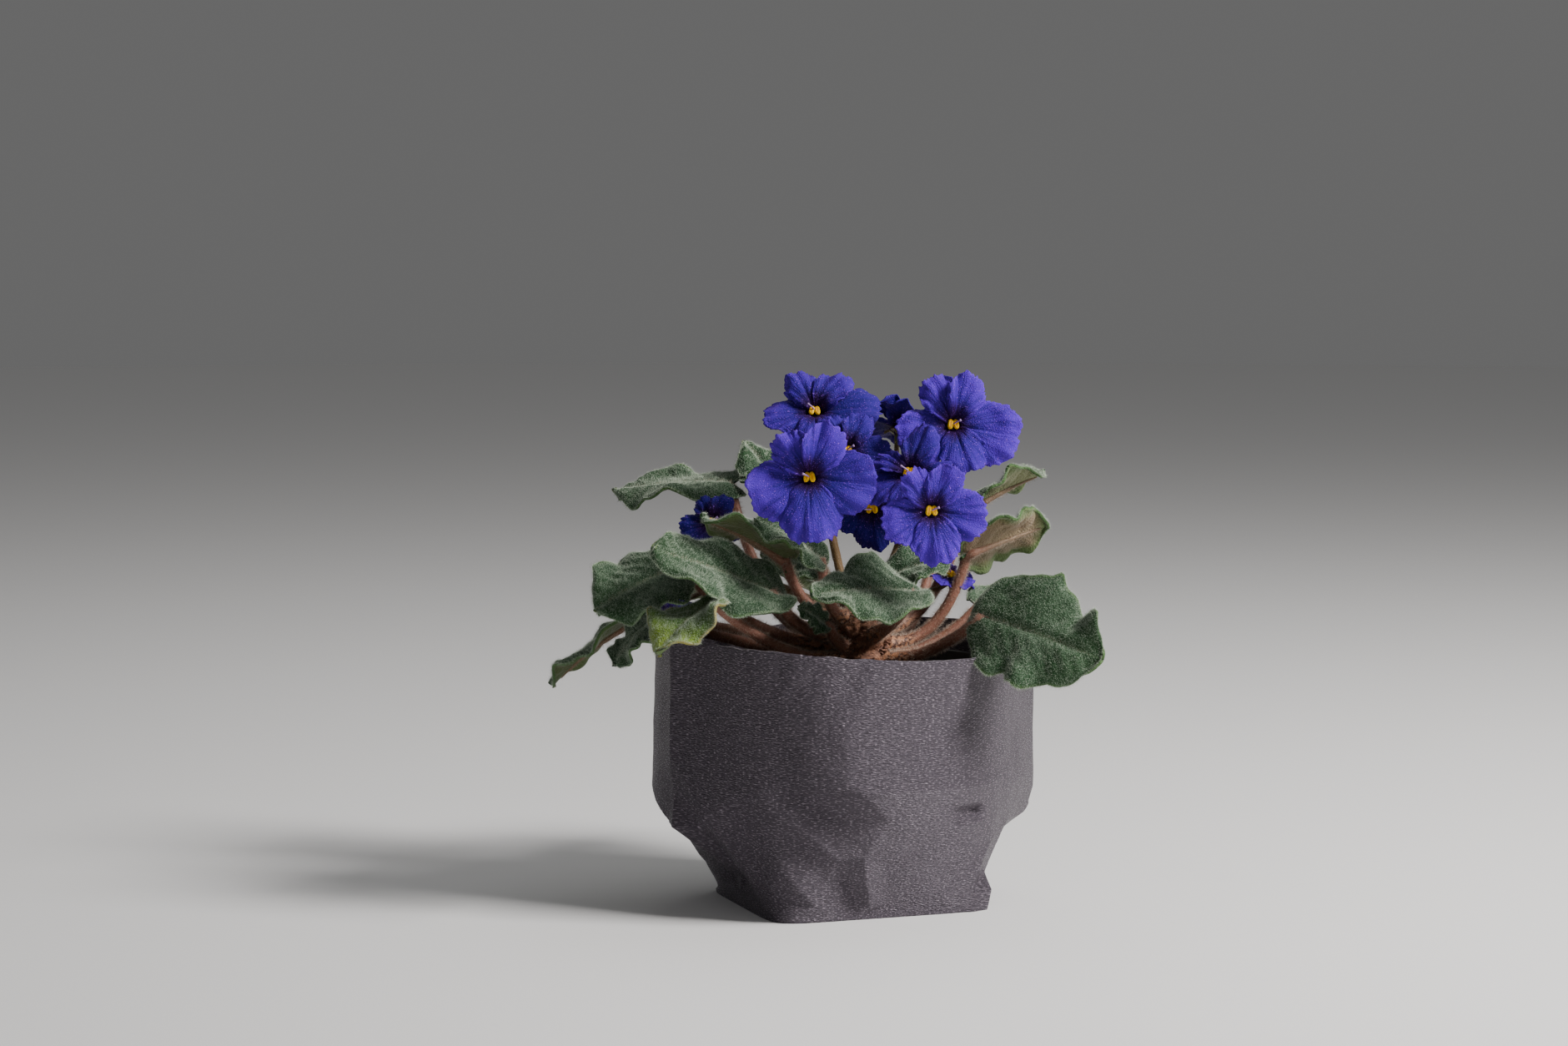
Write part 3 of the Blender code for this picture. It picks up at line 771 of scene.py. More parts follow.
@dataclass(frozen=True)
class PotPlastic(Finish):
    """Thin black moulded plastic, faintly scuffed."""

    name: str = "pot_plastic"
    black: Colour = (0.014, 0.014, 0.015)
    scuff: Colour = (0.060, 0.058, 0.055)

    def nodes(self, nodes: Nodes, shader: bpy.types.Node) -> None:
        """Lays scuffs over the black."""
        scuffs = nodes.group(mottle(), Size=4.0, Sharpness=0.9)
        grain = nodes.noise(nodes.place(), 900.0, 2.0)
        connect(
            nodes, shader, Base_Color=nodes.lay(self.black, self.scuff, scuffs, 0.5),
            Roughness=nodes.math("ADD", 0.38, nodes.times(scuffs, 0.2)), Normal=nodes.bump(grain, 0.05),
        )


@dataclass(frozen=True)
class Plain(Finish):
    """One even colour, for hairs, cut paper and the floor."""

    name: str = "hair"
    colour: Colour = (0.42, 0.49, 0.38)
    roughness: float = 0.5

    def nodes(self, nodes: Nodes, shader: bpy.types.Node) -> None:
        """Sets the shader's own values."""
        connect(nodes, shader, Base_Color=self.colour, Roughness=self.roughness)


HAIR = Plain()
BROWN_HAIR = Plain("brown_hair", (0.56, 0.43, 0.34))
STYLE = Plain("style", (0.34, 0.20, 0.46), 0.5)
PAPER_EDGE = Plain("paper_edge", (0.20, 0.185, 0.195), 0.6)
FLOOR = Plain("floor", (0.80, 0.795, 0.79), 0.85)
PEDICEL = StalkSkin(
    "pedicel", (0.180, 0.065, 0.040), (0.130, 0.150, 0.045), (0.060, 0.035, 0.020), greenness=0.7
)


class Tone(Enum):
    """Which way a leaf is coloured."""

    GREEN = LeafTop()
    YELLOWING = LeafTop(
        "leaf_top_yellowing", (0.012, 0.050, 0.008), (0.050, 0.120, 0.012), (0.180, 0.240, 0.040),
        (0.360, 0.270, 0.080), (0.200, 0.290, 0.006), (0.200, 0.260, 0.090),
    )


# -------------------------------------------------------------------- hairs
@dataclass
class Fur:
    """Fine hairs over a mesh: each one a slim closed spike.

    per_square is how many grow on a square millimetre and fringe how many on a millimetre of a
    blade's edge; lean and fringe_lean are how far they stray from straight out. A blade with hairs
    on both sides has gain times as many, and behind is the share of them on its back.
    """

    seed: int
    per_square: float = 4.5
    length: tuple[float, float] = (0.7, 1.7)
    radius: float = 0.040
    fringe: float = 8.0
    lean: float = 0.33
    fringe_lean: float = 0.45
    gain: float = 1.6
    behind: float = 0.38

    def grow(self, name: str, skin: bpy.types.Mesh, finish: Finish, slot: str, node: str) -> None:
        """Grows the hairs on a round stem, as a piece of their own.

        Args:
            name: the new piece's name.
            skin: the surface that they grow on.
            finish: their finish.
            slot: the record's material slot.
            node: the CAD node that they belong to.
        """
        show(name, self.mesh(name, skin, False), [finish.material()], slot, node)

    def mesh(self, name: str, skin: bpy.types.Mesh, both_sides: bool, sink: float = 0.1) -> bpy.types.Mesh:
        """Grows the hairs.

        Args:
            name: the new mesh's name.
            skin: the surface that they grow on.
            both_sides: whether they grow on the back of the surface too, as on a thin blade.
            sink: how deep their roots sit, in millimetres.

        Returns:
            The mesh of the hairs.
        """
        rng = np.random.default_rng(self.seed)
        skin.calc_loop_triangles()
        corners = np.array([v.co for v in skin.vertices])
        normals = np.array([v.normal for v in skin.vertices])
        faces = np.array([t.vertices for t in skin.loop_triangles])
        a, b, c = (corners[faces[:, i]] for i in range(3))
        areas = np.linalg.norm(np.cross(b - a, c - a), axis=1) / 2.0
        count = int(areas.sum() / MM**2 * self.per_square * (self.gain if both_sides else 1.0))
        pick = rng.choice(len(faces), count, p=areas / areas.sum())
        share = rng.random((count, 2))
        over = share.sum(axis=1) > 1.0
        share[over] = 1.0 - share[over]
        weights = np.column_stack((1.0 - share.sum(axis=1), share))
        roots = np.einsum("nk,nkj->nj", weights, corners[faces[pick]])
        ways = np.einsum("nk,nkj->nj", weights, normals[faces[pick]])
        if both_sides:
            ways[rng.random(count) < self.behind] *= -1.0
        ways += rng.normal(0.0, self.lean, ways.shape)
        if both_sides:
            edge_roots, edge_ways = self.margin(skin, rng)
            roots = np.vstack((roots, edge_roots))
            ways = np.vstack((ways, edge_ways))
        ways /= np.linalg.norm(ways, axis=1)[:, None]
        lengths = rng.uniform(*self.length, len(roots)) * MM
        roots = roots - ways * sink * MM
        return self.spikes(name, roots, ways, lengths)

    def margin(self, skin: bpy.types.Mesh, rng: np.random.Generator) -> tuple[np.ndarray, np.ndarray]:
        """Places the hairs that stand out from a blade's edge.

        Args:
            skin: the blade.
            rng: where the chances come from.

        Returns:
            Their roots and their directions.
        """
        bm = bmesh.new()
        bm.from_mesh(skin)
        roots, ways = [], []
        for edge in bm.edges:
            if not edge.is_boundary or not edge.calc_length():
                continue
            face = edge.link_faces[0]
            first, second = (vert.co for vert in edge.verts)
            outward = (second - first).cross(face.normal).normalized()
            if outward.dot((first + second) / 2.0 - face.calc_center_median()) < 0.0:
                outward = -outward
            wanted = edge.calc_length() / MM * self.fringe
            for _ in range(int(wanted + rng.random())):
                roots.append(first.lerp(second, rng.random()))
                ways.append(np.array(outward) + rng.normal(0.0, self.fringe_lean, 3))
        bm.free()
        return np.array(roots), np.array(ways)

    def spikes(self, name: str, roots: np.ndarray, ways: np.ndarray, lengths: np.ndarray) -> bpy.types.Mesh:
        """Places one spike on each root.

        Args:
            name: the new mesh's name.
            roots: where they start, in metres.
            ways: the unit directions that they grow in.
            lengths: how long they are, in metres.

        Returns:
            The mesh of the spikes.
        """
        spike = bmesh.new()
        bmesh.ops.create_cone(spike, cap_ends=True, segments=3, radius1=1.0, radius2=0.0, depth=1.0)
        bmesh.ops.translate(spike, verts=spike.verts, vec=(0.0, 0.0, 0.5))
        bmesh.ops.remove_doubles(spike, verts=spike.verts, dist=WELD)
        helper = np.where(np.abs(ways[:, 2:]) < 0.9, (0.0, 0.0, 1.0), (1.0, 0.0, 0.0))
        side = np.cross(helper, ways)
        side /= np.linalg.norm(side, axis=1)[:, None]
        places = np.zeros((len(roots), 4, 4))
        places[:, :3, 0] = side * self.radius * MM
        places[:, :3, 1] = np.cross(ways, side) * self.radius * MM
        places[:, :3, 2] = ways * lengths[:, None]
        places[:, :3, 3] = roots
        places[:, 3, 3] = 1.0
        return scattered(name, spike, places)


# -------------------------------------------------------------------- crown
@dataclass
class Crown:
    """The short woody stem, with chips of old bark round its foot.

    at is its middle and profile its radius at each height. Its skin has ringed scars, pits, lumps
    and grain, each as deep as its field says. chip_sizes are a chip's least and greatest halves.
    Loose chips lie on the ground from heap_start out over heap_spread, piled up inside heap_edge.
    """

    at: tuple[float, float] = (5.0, -7.0)
    profile: tuple[tuple[float, float], ...] = (
        (56.0, 4.5), (64.0, 6.5), (75.0, 8.0), (81.0, 9.0), (91.0, 9.0), (97.0, 7.0), (101.0, 4.5),
        (103.0, 2.0),
    )
    scar: float = 0.5
    pit: float = 1.3
    lump: float = 1.5
    grain: float = 0.7
    chips: int = 520
    chip_heights: tuple[float, float] = (79.0, 100.0)
    chip_sizes: tuple[Place, Place] = ((0.4, 0.3, 0.2), (1.7, 0.9, 0.6))
    ground: float = 77.5
    heap_start: float = 6.5
    heap_spread: float = 10.0
    heap_edge: float = 13.0

    def radius(self, height: float) -> float:
        """Its radius at a height."""
        heights, radii = zip(*self.profile)
        return float(np.interp(height, heights, radii))

    def side(self, turn: float, height: float, sink: float) -> Vector:
        """A point on its side, sunk in a little, for something to grow from."""
        return Vector((*self.at, height)) + ray(turn) * (self.radius(height) - sink)

    def surface(self, u: float, v: float) -> Vector:
        """A point of its skin, for a share round it and a share up it."""
        low, high = self.profile[0][0], self.profile[-1][0]
        height = low + (high - low) * v
        turn = 2.0 * math.pi * (u % 1.0)
        spoke = ray(turn)
        point = Vector((*self.at, height)) + spoke * self.radius(height)
        scars = self.scar * math.sin(height * 1.7 + 2.0 * math.sin(3.0 * turn))
        pits = -self.pit * smooth((wobble(point + Vector((3, 1, 7)), 1.9) - 0.15) / 0.3)
        rough = self.lump * wobble(point, 3.2) + self.grain * wobble(point, 1.1)
        return point + spoke * (scars + pits + rough)

    def chip(self, rng: np.random.Generator, clinging: bool) -> Matrix:
        """The place of one chip of bark.

        Args:
            rng: where the chances come from.
            clinging: whether it clings to the stem, or lies heaped round its foot.

        Returns:
            Its place, turn and size.
        """
        turn = rng.uniform(0.0, 2.0 * math.pi)
        if clinging:
            height = rng.uniform(*self.chip_heights)
            out = self.radius(height) + rng.uniform(-0.3, 0.6)
        else:
            out = self.heap_start + self.heap_spread * rng.random() ** 1.5
            height = self.ground + max(0.0, self.heap_edge - out) * rng.uniform(0.3, 1.3)
        spot = Vector((self.at[0] + out * math.cos(turn), self.at[1] + out * math.sin(turn), height)) * MM
        size = Vector(rng.uniform(*self.chip_sizes)) * MM
        tilt = Matrix.Rotation(rng.uniform(0, 6.3), 4, "Z") @ Matrix.Rotation(rng.normal(0, 0.5), 4, "X")
        return Matrix.Translation(spot) @ tilt @ Matrix.Diagonal((*size, 1.0))

    def build(self) -> None:
        """Builds the stem and its chips."""
        stem = closed(sheet(48, 64, self.surface))
        show("crown_stem", mesh_of("crown_stem", stem), [Bark().material()], "crown", "crown")
        rng = np.random.default_rng(11)
        places = np.array([self.chip(rng, bool(number % 2)) for number in range(self.chips)])
        mesh = roughened(scattered("crown_chips", pebble(), places), 0.9, 0.45)
        show("crown_chips", mesh, [Bark().material()], "crown")


# ------------------------------------------------------------------- leaves
@dataclass
class Leaf:
    """One leaf: a hairy petiole from the crown and a quilted, scalloped blade.

    turn and height are where the petiole leaves the crown, rise lifts its middle, arch bows the
    blade upwards, face is the way its upper side looks, cup folds the two halves upwards, billow is
    how far the blade swells between its ribs, and ripple is how far the margin waves. Each of its
    pleats has a share of the length, a hand (1 or -1) and the depth that the margin dips there.
    seed sets a leaf's lumps apart, and waves is how quickly its margin waves along its length.
    lobe is how far the margin falls back beside the petiole, as a share of the length, and vein_gap
    the distance between side veins. quilt, pebbles, groove, frill, tooth and lip are the depths of
    the pads between veins, of their roughness, of the midrib's furrow, and of the margin's small
    waves, teeth and turned-down edge.
    """

    name: str
    turn: float
    height: float
    rise: float
    base: Place
    tip: Place
    width: float
    arch: float
    face: Place
    cup: float
    ripple: float
    tone: Tone = Tone.GREEN
    pleats: tuple[Place, ...] = ()
    billow: float = 1.5
    lobe: float = 0.13
    under: LeafUnder = LeafUnder()
    seed: int = 0
    columns: int = 36
    rows: int = 60
    steps: int = 200
    thickness: float = 0.9
    waves: float = 9.0
    vein_gap: float = 5.2
    quilt: float = 0.40
    pebbles: float = 0.35
    groove: float = 0.8
    frill: float = 0.8
    tooth: float = 0.55
    lip: float = 0.9

    @property
    def skew(self) -> float:
        """What sets this leaf's waves and lumps apart from the others'."""
        return self.seed * 1.7

    def outline(self, v: float) -> float:
        """The half width at a share of the length, before its scallops."""
        return self.width / 2.0 * math.sin(math.pi * min(1.0, max(0.0, v)) ** 0.80) ** 0.62

    def rib(self, v: float) -> float:
        """The radius of the midrib under the blade, at a share of its length."""
        return 1.5 - 1.15 * min(1.0, v) ** 0.6

    def route(self, crown: Crown) -> list[Vector]:
        """The petiole's middle line, from inside the crown to the blade."""
        turn = math.radians(self.turn)
        start = crown.side(turn, self.height, 1.5)
        base = Vector(self.base)
        bend = start + ray(turn) * (base - start).length / 2.0 + UP * self.rise
        return bezier((start, bend, base), 26)

    def spine(self) -> list[Vector]:
        """The blade's middle line, in fine steps."""
        base, tip = Vector(self.base), Vector(self.tip)
        crest = (base + tip) / 2.0 + Vector(self.face) * self.arch
        return bezier((base, crest, tip), self.steps)

    def half_width(self, v: float, across: float) -> float:
        """The half width with its scallops and pleats.

        Args:
            v: the share of the length.
            across: the place from one margin to the other, from -1 to 1.

        Returns:
            The half width on that side, in millimetres.
        """
        hand = math.copysign(1.0, across)
        sway = varied(v * 6.0, self.skew, across)
        half = max(self.outline(v), 0.05)
        half *= 1.0 + 0.05 * sway + 0.05 * math.sin(2.2 * self.waves * v + 2.0 * hand + self.skew)
        for at, side, depth in self.pleats:
            if side * across > 0.0:
                half *= 1.0 - 0.05 * depth * bell(v - at, 0.045)
        return half

    def flutter(self, v: float, across: float, half: float) -> float:
        """How far the blade's margin stands above its flat face.

        Args:
            v: the share of the length.
            across: the place from one margin to the other, from -1 to 1.
            half: the half width there.

        Returns:
            The height, in millimetres.
        """
        reach = abs(across)
        hand = math.copysign(1.0, across)
        wave = self.ripple * 2.0 * reach**1.8 * math.sin(self.waves * v + 2.1 * across + self.skew)
        frill = self.frill * reach**3 * math.sin(2.7 * self.waves * v + 1.3 * hand + self.skew)
        lift = self.cup * half * reach + wave + frill - self.lip * smooth((reach - 0.82) / 0.18)
        for at, side, depth in self.pleats:
            if side * across > 0.0:
                lift -= depth * bell(v - at, 0.075) * reach**1.6
        return lift

    def quilting(self, x: float, along: float, reach: float, phase: float) -> float:
        """How far the blade swells between its veins.

        Args:
            x: the distance from the midrib, in millimetres.
            along: the distance along it.
            reach: the share of the way out to the margin.
            phase: how many side veins lie before this place.

        Returns:
            The height, in millimetres.
        """
        near = smooth(abs(x) / 3.0) * smooth((1.0 - reach) / 0.25)
        pads = self.quilt * (0.5 - 0.5 * math.cos(2.0 * math.pi * phase))
        pebbles = self.pebbles * wobble(Vector((x, along, self.skew * 9.0)), 2.6)
        billow = self.billow * wobble(Vector((x, along, self.skew * 5.0)), 12.0)
        return (pads + pebbles + billow) * near

    def blade(self) -> tuple[bpy.types.Mesh, list[Vector]]:
        """Builds the blade's upper side.

        Returns:
            Its mesh, and the line under its midrib.
        """
        spine = self.spine()
        ways = tangents(spine)
        length = (Vector(self.tip) - Vector(self.base)).length
        tags = {}

        def shape(u: float, t: float) -> Vector:
            """A point of the blade, for a share across it and a share along it."""
            v = 0.35 * t + 0.65 * (0.5 - 0.5 * math.cos(math.pi * t))  # rows crowd at both ends
            i = round(v * self.steps)
            way = ways[i]
            face = squared(Vector(self.face), way)
            across = 2.0 * u - 1.0
            reach = abs(across)
            half = self.half_width(v, across)
            tooth = abs(math.sin(26.0 * v + 0.8 * math.copysign(1.0, across))) * smooth((reach - 0.8) / 0.2)
            x = across * (half + self.tooth * tooth * min(1.0, half / 6.0))
            back = self.lobe * length * reach**1.6 * max(0.0, 1.0 - v / 0.36)
            phase = (v * length + 2.0 - 0.75 * abs(x) - 0.012 * x * x) / self.vein_gap
            lift = self.flutter(v, across, half) + self.quilting(x, v * length, reach, phase)
            lift -= self.groove * bell(x, 1.2) * (1.0 - v)
            tags[(round(u * self.columns), round(t * self.rows))] = (reach, v, (phase % 1.0) / 10.0, 1.0)
            return spine[i] + way.cross(face) * x + face * lift - way * back

        mesh = mesh_of(self.name + "_blade", sheet(self.columns, self.rows, shape))
        tag(mesh, "blade", in_order(tags, self.columns, self.rows))
        rib = []
        for v in np.linspace(0.0, 0.9, 24):
            i = round(v * self.steps)
            face = squared(Vector(self.face), ways[i])
            rib.append(spine[i] - face * (0.55 + 0.8 * (1.0 - v) + 0.6 * self.rib(v)))
        return mesh, rib

    def build(self, crown: Crown) -> None:
        """Builds the petiole, the blade and their hairs."""
        mesh, rib = self.blade()
        sides = [self.tone.value.material(), self.under.material()]
        thicken(show(self.name + "_blade", mesh, sides, "leaf", self.name), self.thickness, 1)
        route = self.route(crown)[:-1] + rib
        split = len(route) - len(rib)

        def radius(v: float) -> float:
            """The stem's radius, flared at its foot and thinning to the midrib under the blade."""
            i = v * (len(route) - 1)
            if i < split:
                return 2.0 - 0.45 * i / split + 1.3 * max(0.0, 1.0 - i / 9.0) ** 1.5
            return self.rib(0.9 * (i - split) / len(rib))

        stem = mesh_of(self.name + "_petiole", tube(route, radius, 14, 0.18))
        show(self.name + "_petiole", stem, [StalkSkin(woody=0.20, tan=0.85).material()], "stalk", self.name)
        hairs = Fur(self.seed + 100).mesh(self.name + "_hairs", mesh, True, 0.3)
        show(self.name + "_hairs", hairs, [HAIR.material()], "leaf", self.name)
        down = Fur(self.seed + 200, 6.0, (0.7, 2.0), 0.034)
        down.grow(self.name + "_petiole_hairs", stem, BROWN_HAIR, "stalk", self.name)


LEAVES = (
    Leaf("leaf_right_front", 335, 79.5, 3, (43, -31, 97), (79, -48, 85), 37, 3, (-0.14, -0.87, 0.46), 0.05,
         1.2, pleats=((0.69, -1, 4.6), (0.34, 1, 3.0), (0.44, -1, -2.5), (0.84, -1, -3.0),
                      (0.62, 1, 1.6)), billow=2.8),
    Leaf("leaf_right_rear", 5, 79.5, 3, (44, 2, 97), (79, 8, 88), 32, 3, (0.1, -0.4, 0.92), 0.05, 1.2),
    Leaf("leaf_right_mid", 18, 84.5, -2, (40, 2, 115), (66, 14, 122), 28, 0, (-0.35, 0.6, 0.7), 0.05, 1.0,
         under=LeafUnder("leaf_under_flushed", (0.260, 0.165, 0.110))),
    Leaf("leaf_right_top", 42, 89.2, -2, (40, 20, 127), (66, 29, 138), 24, 2, (-0.3, 0.3, 0.9), 0.2, 1.0,
         under=LeafUnder("leaf_under_pale", (0.220, 0.220, 0.110))),
    Leaf("leaf_front", 300, 89.2, 2, (22, -30, 105), (-11, -45, 105), 30, 3, (0.1, -0.48, 0.87), 0.05, 1.2,
         pleats=((0.55, 1, 2.5), (0.30, 1, -2.5), (0.70, -1, 1.5))),
    Leaf("leaf_left_front", 207, 88.5, -2, (-24, -25, 104.5), (-61, -44, 119), 30, 2, (0.1, -0.60, 0.78),
         0.05, 1.2, pleats=((0.42, -1, 2.5), (0.18, -1, -1.5), (0.2, 1, 1.5)), lobe=0.2, billow=2.0),
    Leaf("leaf_left", 194, 84.3, 2, (-54, -14, 111), (-80, -25, 98), 32, 3, (-0.35, -0.65, 0.65), 0.05, 1.5,
         pleats=((0.45, -1, 3.0), (0.72, 1, -1.5), (0.60, -1, -1.5))),
    Leaf("leaf_left_yellow", 224, 80.5, 0, (-43, -37, 102), (-59, -55, 88), 24, 3, (-0.5, -0.6, 0.6), 0.2,
         1.5, Tone.YELLOWING),
    Leaf("leaf_left_low", 158, 80.5, 8, (-69, 14, 92), (-97, 23, 68), 26, 3, (-0.6, 0.1, 0.8), 0.1, 1.2),
    Leaf("leaf_left_inner", 183, 79.5, 5, (-62, -2, 93), (-75, -6, 78), 24, 2, (-0.7, -0.3, 0.65), 0.1, 1.0),
    Leaf("leaf_left_back", 140, 85.0, 0, (-38, 32, 135), (-77, 50, 130), 28, 3, (0.0, -0.3, 0.95), 0.0, 1.5),
    Leaf("leaf_back_top", 112, 94.0, 0, (-20, 33, 129), (-33, 42, 147), 22, 2, (0.3, -0.5, 0.8), 0.1, 1.0),
    Leaf("leaf_left_upper", 176, 93.5, 0, (-20, -9, 114), (-46, -19, 127), 24, 2, (0.2, 0.3, 0.9), 0.1, 1.2),
    Leaf("leaf_mid_left", 228, 94.0, 0, (-8, -17, 114), (-29, -26, 127), 20, 2, (0.5, -0.3, 0.8), 0.1, 1.0),
    Leaf("leaf_mid_right", 325, 94.0, 0, (12, -11.5, 107), (33, -14, 113.5), 17, 2, (-0.2, -0.55, 0.8), 0.1,
         1.0),
    Leaf("leaf_centre_left", 135, 98.0, 0, (-7, 3, 108), (-27, 6, 113), 18, 2, (0.0, -0.5, 0.85), 0.1, 0.8),
    Leaf("leaf_young", 235, 85.0, 0, (-6, -22, 93), (-15, -27, 99), 11, 1, (0.3, -0.6, 0.75), 0.1, 0.4),
    Leaf("leaf_back_right", 57, 80.5, 0, (30, 38, 110), (52, 62, 110), 32, 4, (0.0, 0.0, 1.0), 0.05, 1.4),
    Leaf("leaf_back", 92, 80.0, 2, (2, 46, 100), (4, 80, 92), 34, 4, (0.0, 0.2, 1.0), 0.05, 1.4),
    Leaf("leaf_back_left", 125, 80.0, 2, (-32, 42, 101), (-54, 64, 92), 32, 4, (-0.2, 0.2, 1.0), 0.05, 1.4),
)


# ------------------------------------------------------------------ flowers
@dataclass
class Stalk:
    """A flower stalk, from the crown to where its pedicels branch.

    turn and height are where it leaves the crown, lean the point that it bends towards, and top its
    end.
    """

    name: str
    turn: float
    height: float
    lean: Place
    top: Place
    thickness: float = 1.35

    def route(self, crown: Crown) -> list[Vector]:
        """Its middle line."""
        start = crown.side(math.radians(self.turn), self.height, 1.0)
        return bezier((start, Vector(self.lean), Vector(self.top)), 30)

    def radius(self, v: float) -> float:
        """Its radius, a little thinner towards its top."""
        return self.thickness * (1.15 - 0.25 * v)

    def build(self, crown: Crown) -> None:
        """Builds the stalk and its hairs."""
        mesh = mesh_of(self.name, tube(self.route(crown), self.radius, 12, 0.12))
        skin = StalkSkin("flower_stalk", greenness=0.9)
        show(self.name + "_skin", mesh, [skin.material()], "stalk", self.name)
        fur = Fur(len(self.name), 3.0, (0.6, 1.3), 0.03)
        fur.grow(self.name + "_hairs", mesh, BROWN_HAIR, "stalk", self.name)


STALKS = {
    stalk.name: stalk
    for stalk in (
        Stalk("stalk_left", 205, 98.5, (-3, -6, 112), (-7, -2, 132)),
        Stalk("stalk_right", 20, 98.5, (14, -2, 108), (22, 0, 129)),
        Stalk("stalk_side", 150, 93.0, (-16, 2, 102), (-36, 6, 107)),
    )
}


@dataclass(frozen=True)
class Fan:
    """One petal: the direction it points in, its length against the flower's radius and how it sits.

    spread is half of its angle at the throat, blunt shapes its tip, layer is how far it sits before
    the others, fold bends its halves back from the midrib, roll turns one side forwards, and the
    last is painted shade that darkens this petal further, for the shadow that falls on it.
    """

    turn: float
    length: float
    spread: float = 66.0
    blunt: float = 0.62
    layer: float = 0.0
    fold: float = 0.0
    roll: float = 0.0
    # painted shade: how much darker this one petal is made, for the shadow that falls on it
    petal_shade: float = 0.0


STANDARD = (
    Fan(122, 0.86, 58, 0.76, 3.2, 0.5), Fan(62, 0.88, 60, 0.76, 4.2, 0.5, 1.6),
    Fan(198, 1.02, 66, 0.56, 0.3, 0.2), Fan(348, 1.04, 66, 0.56, 0.0, 0.2),
    Fan(272, 1.06, 62, 0.56, 2.0, 1.0),
)


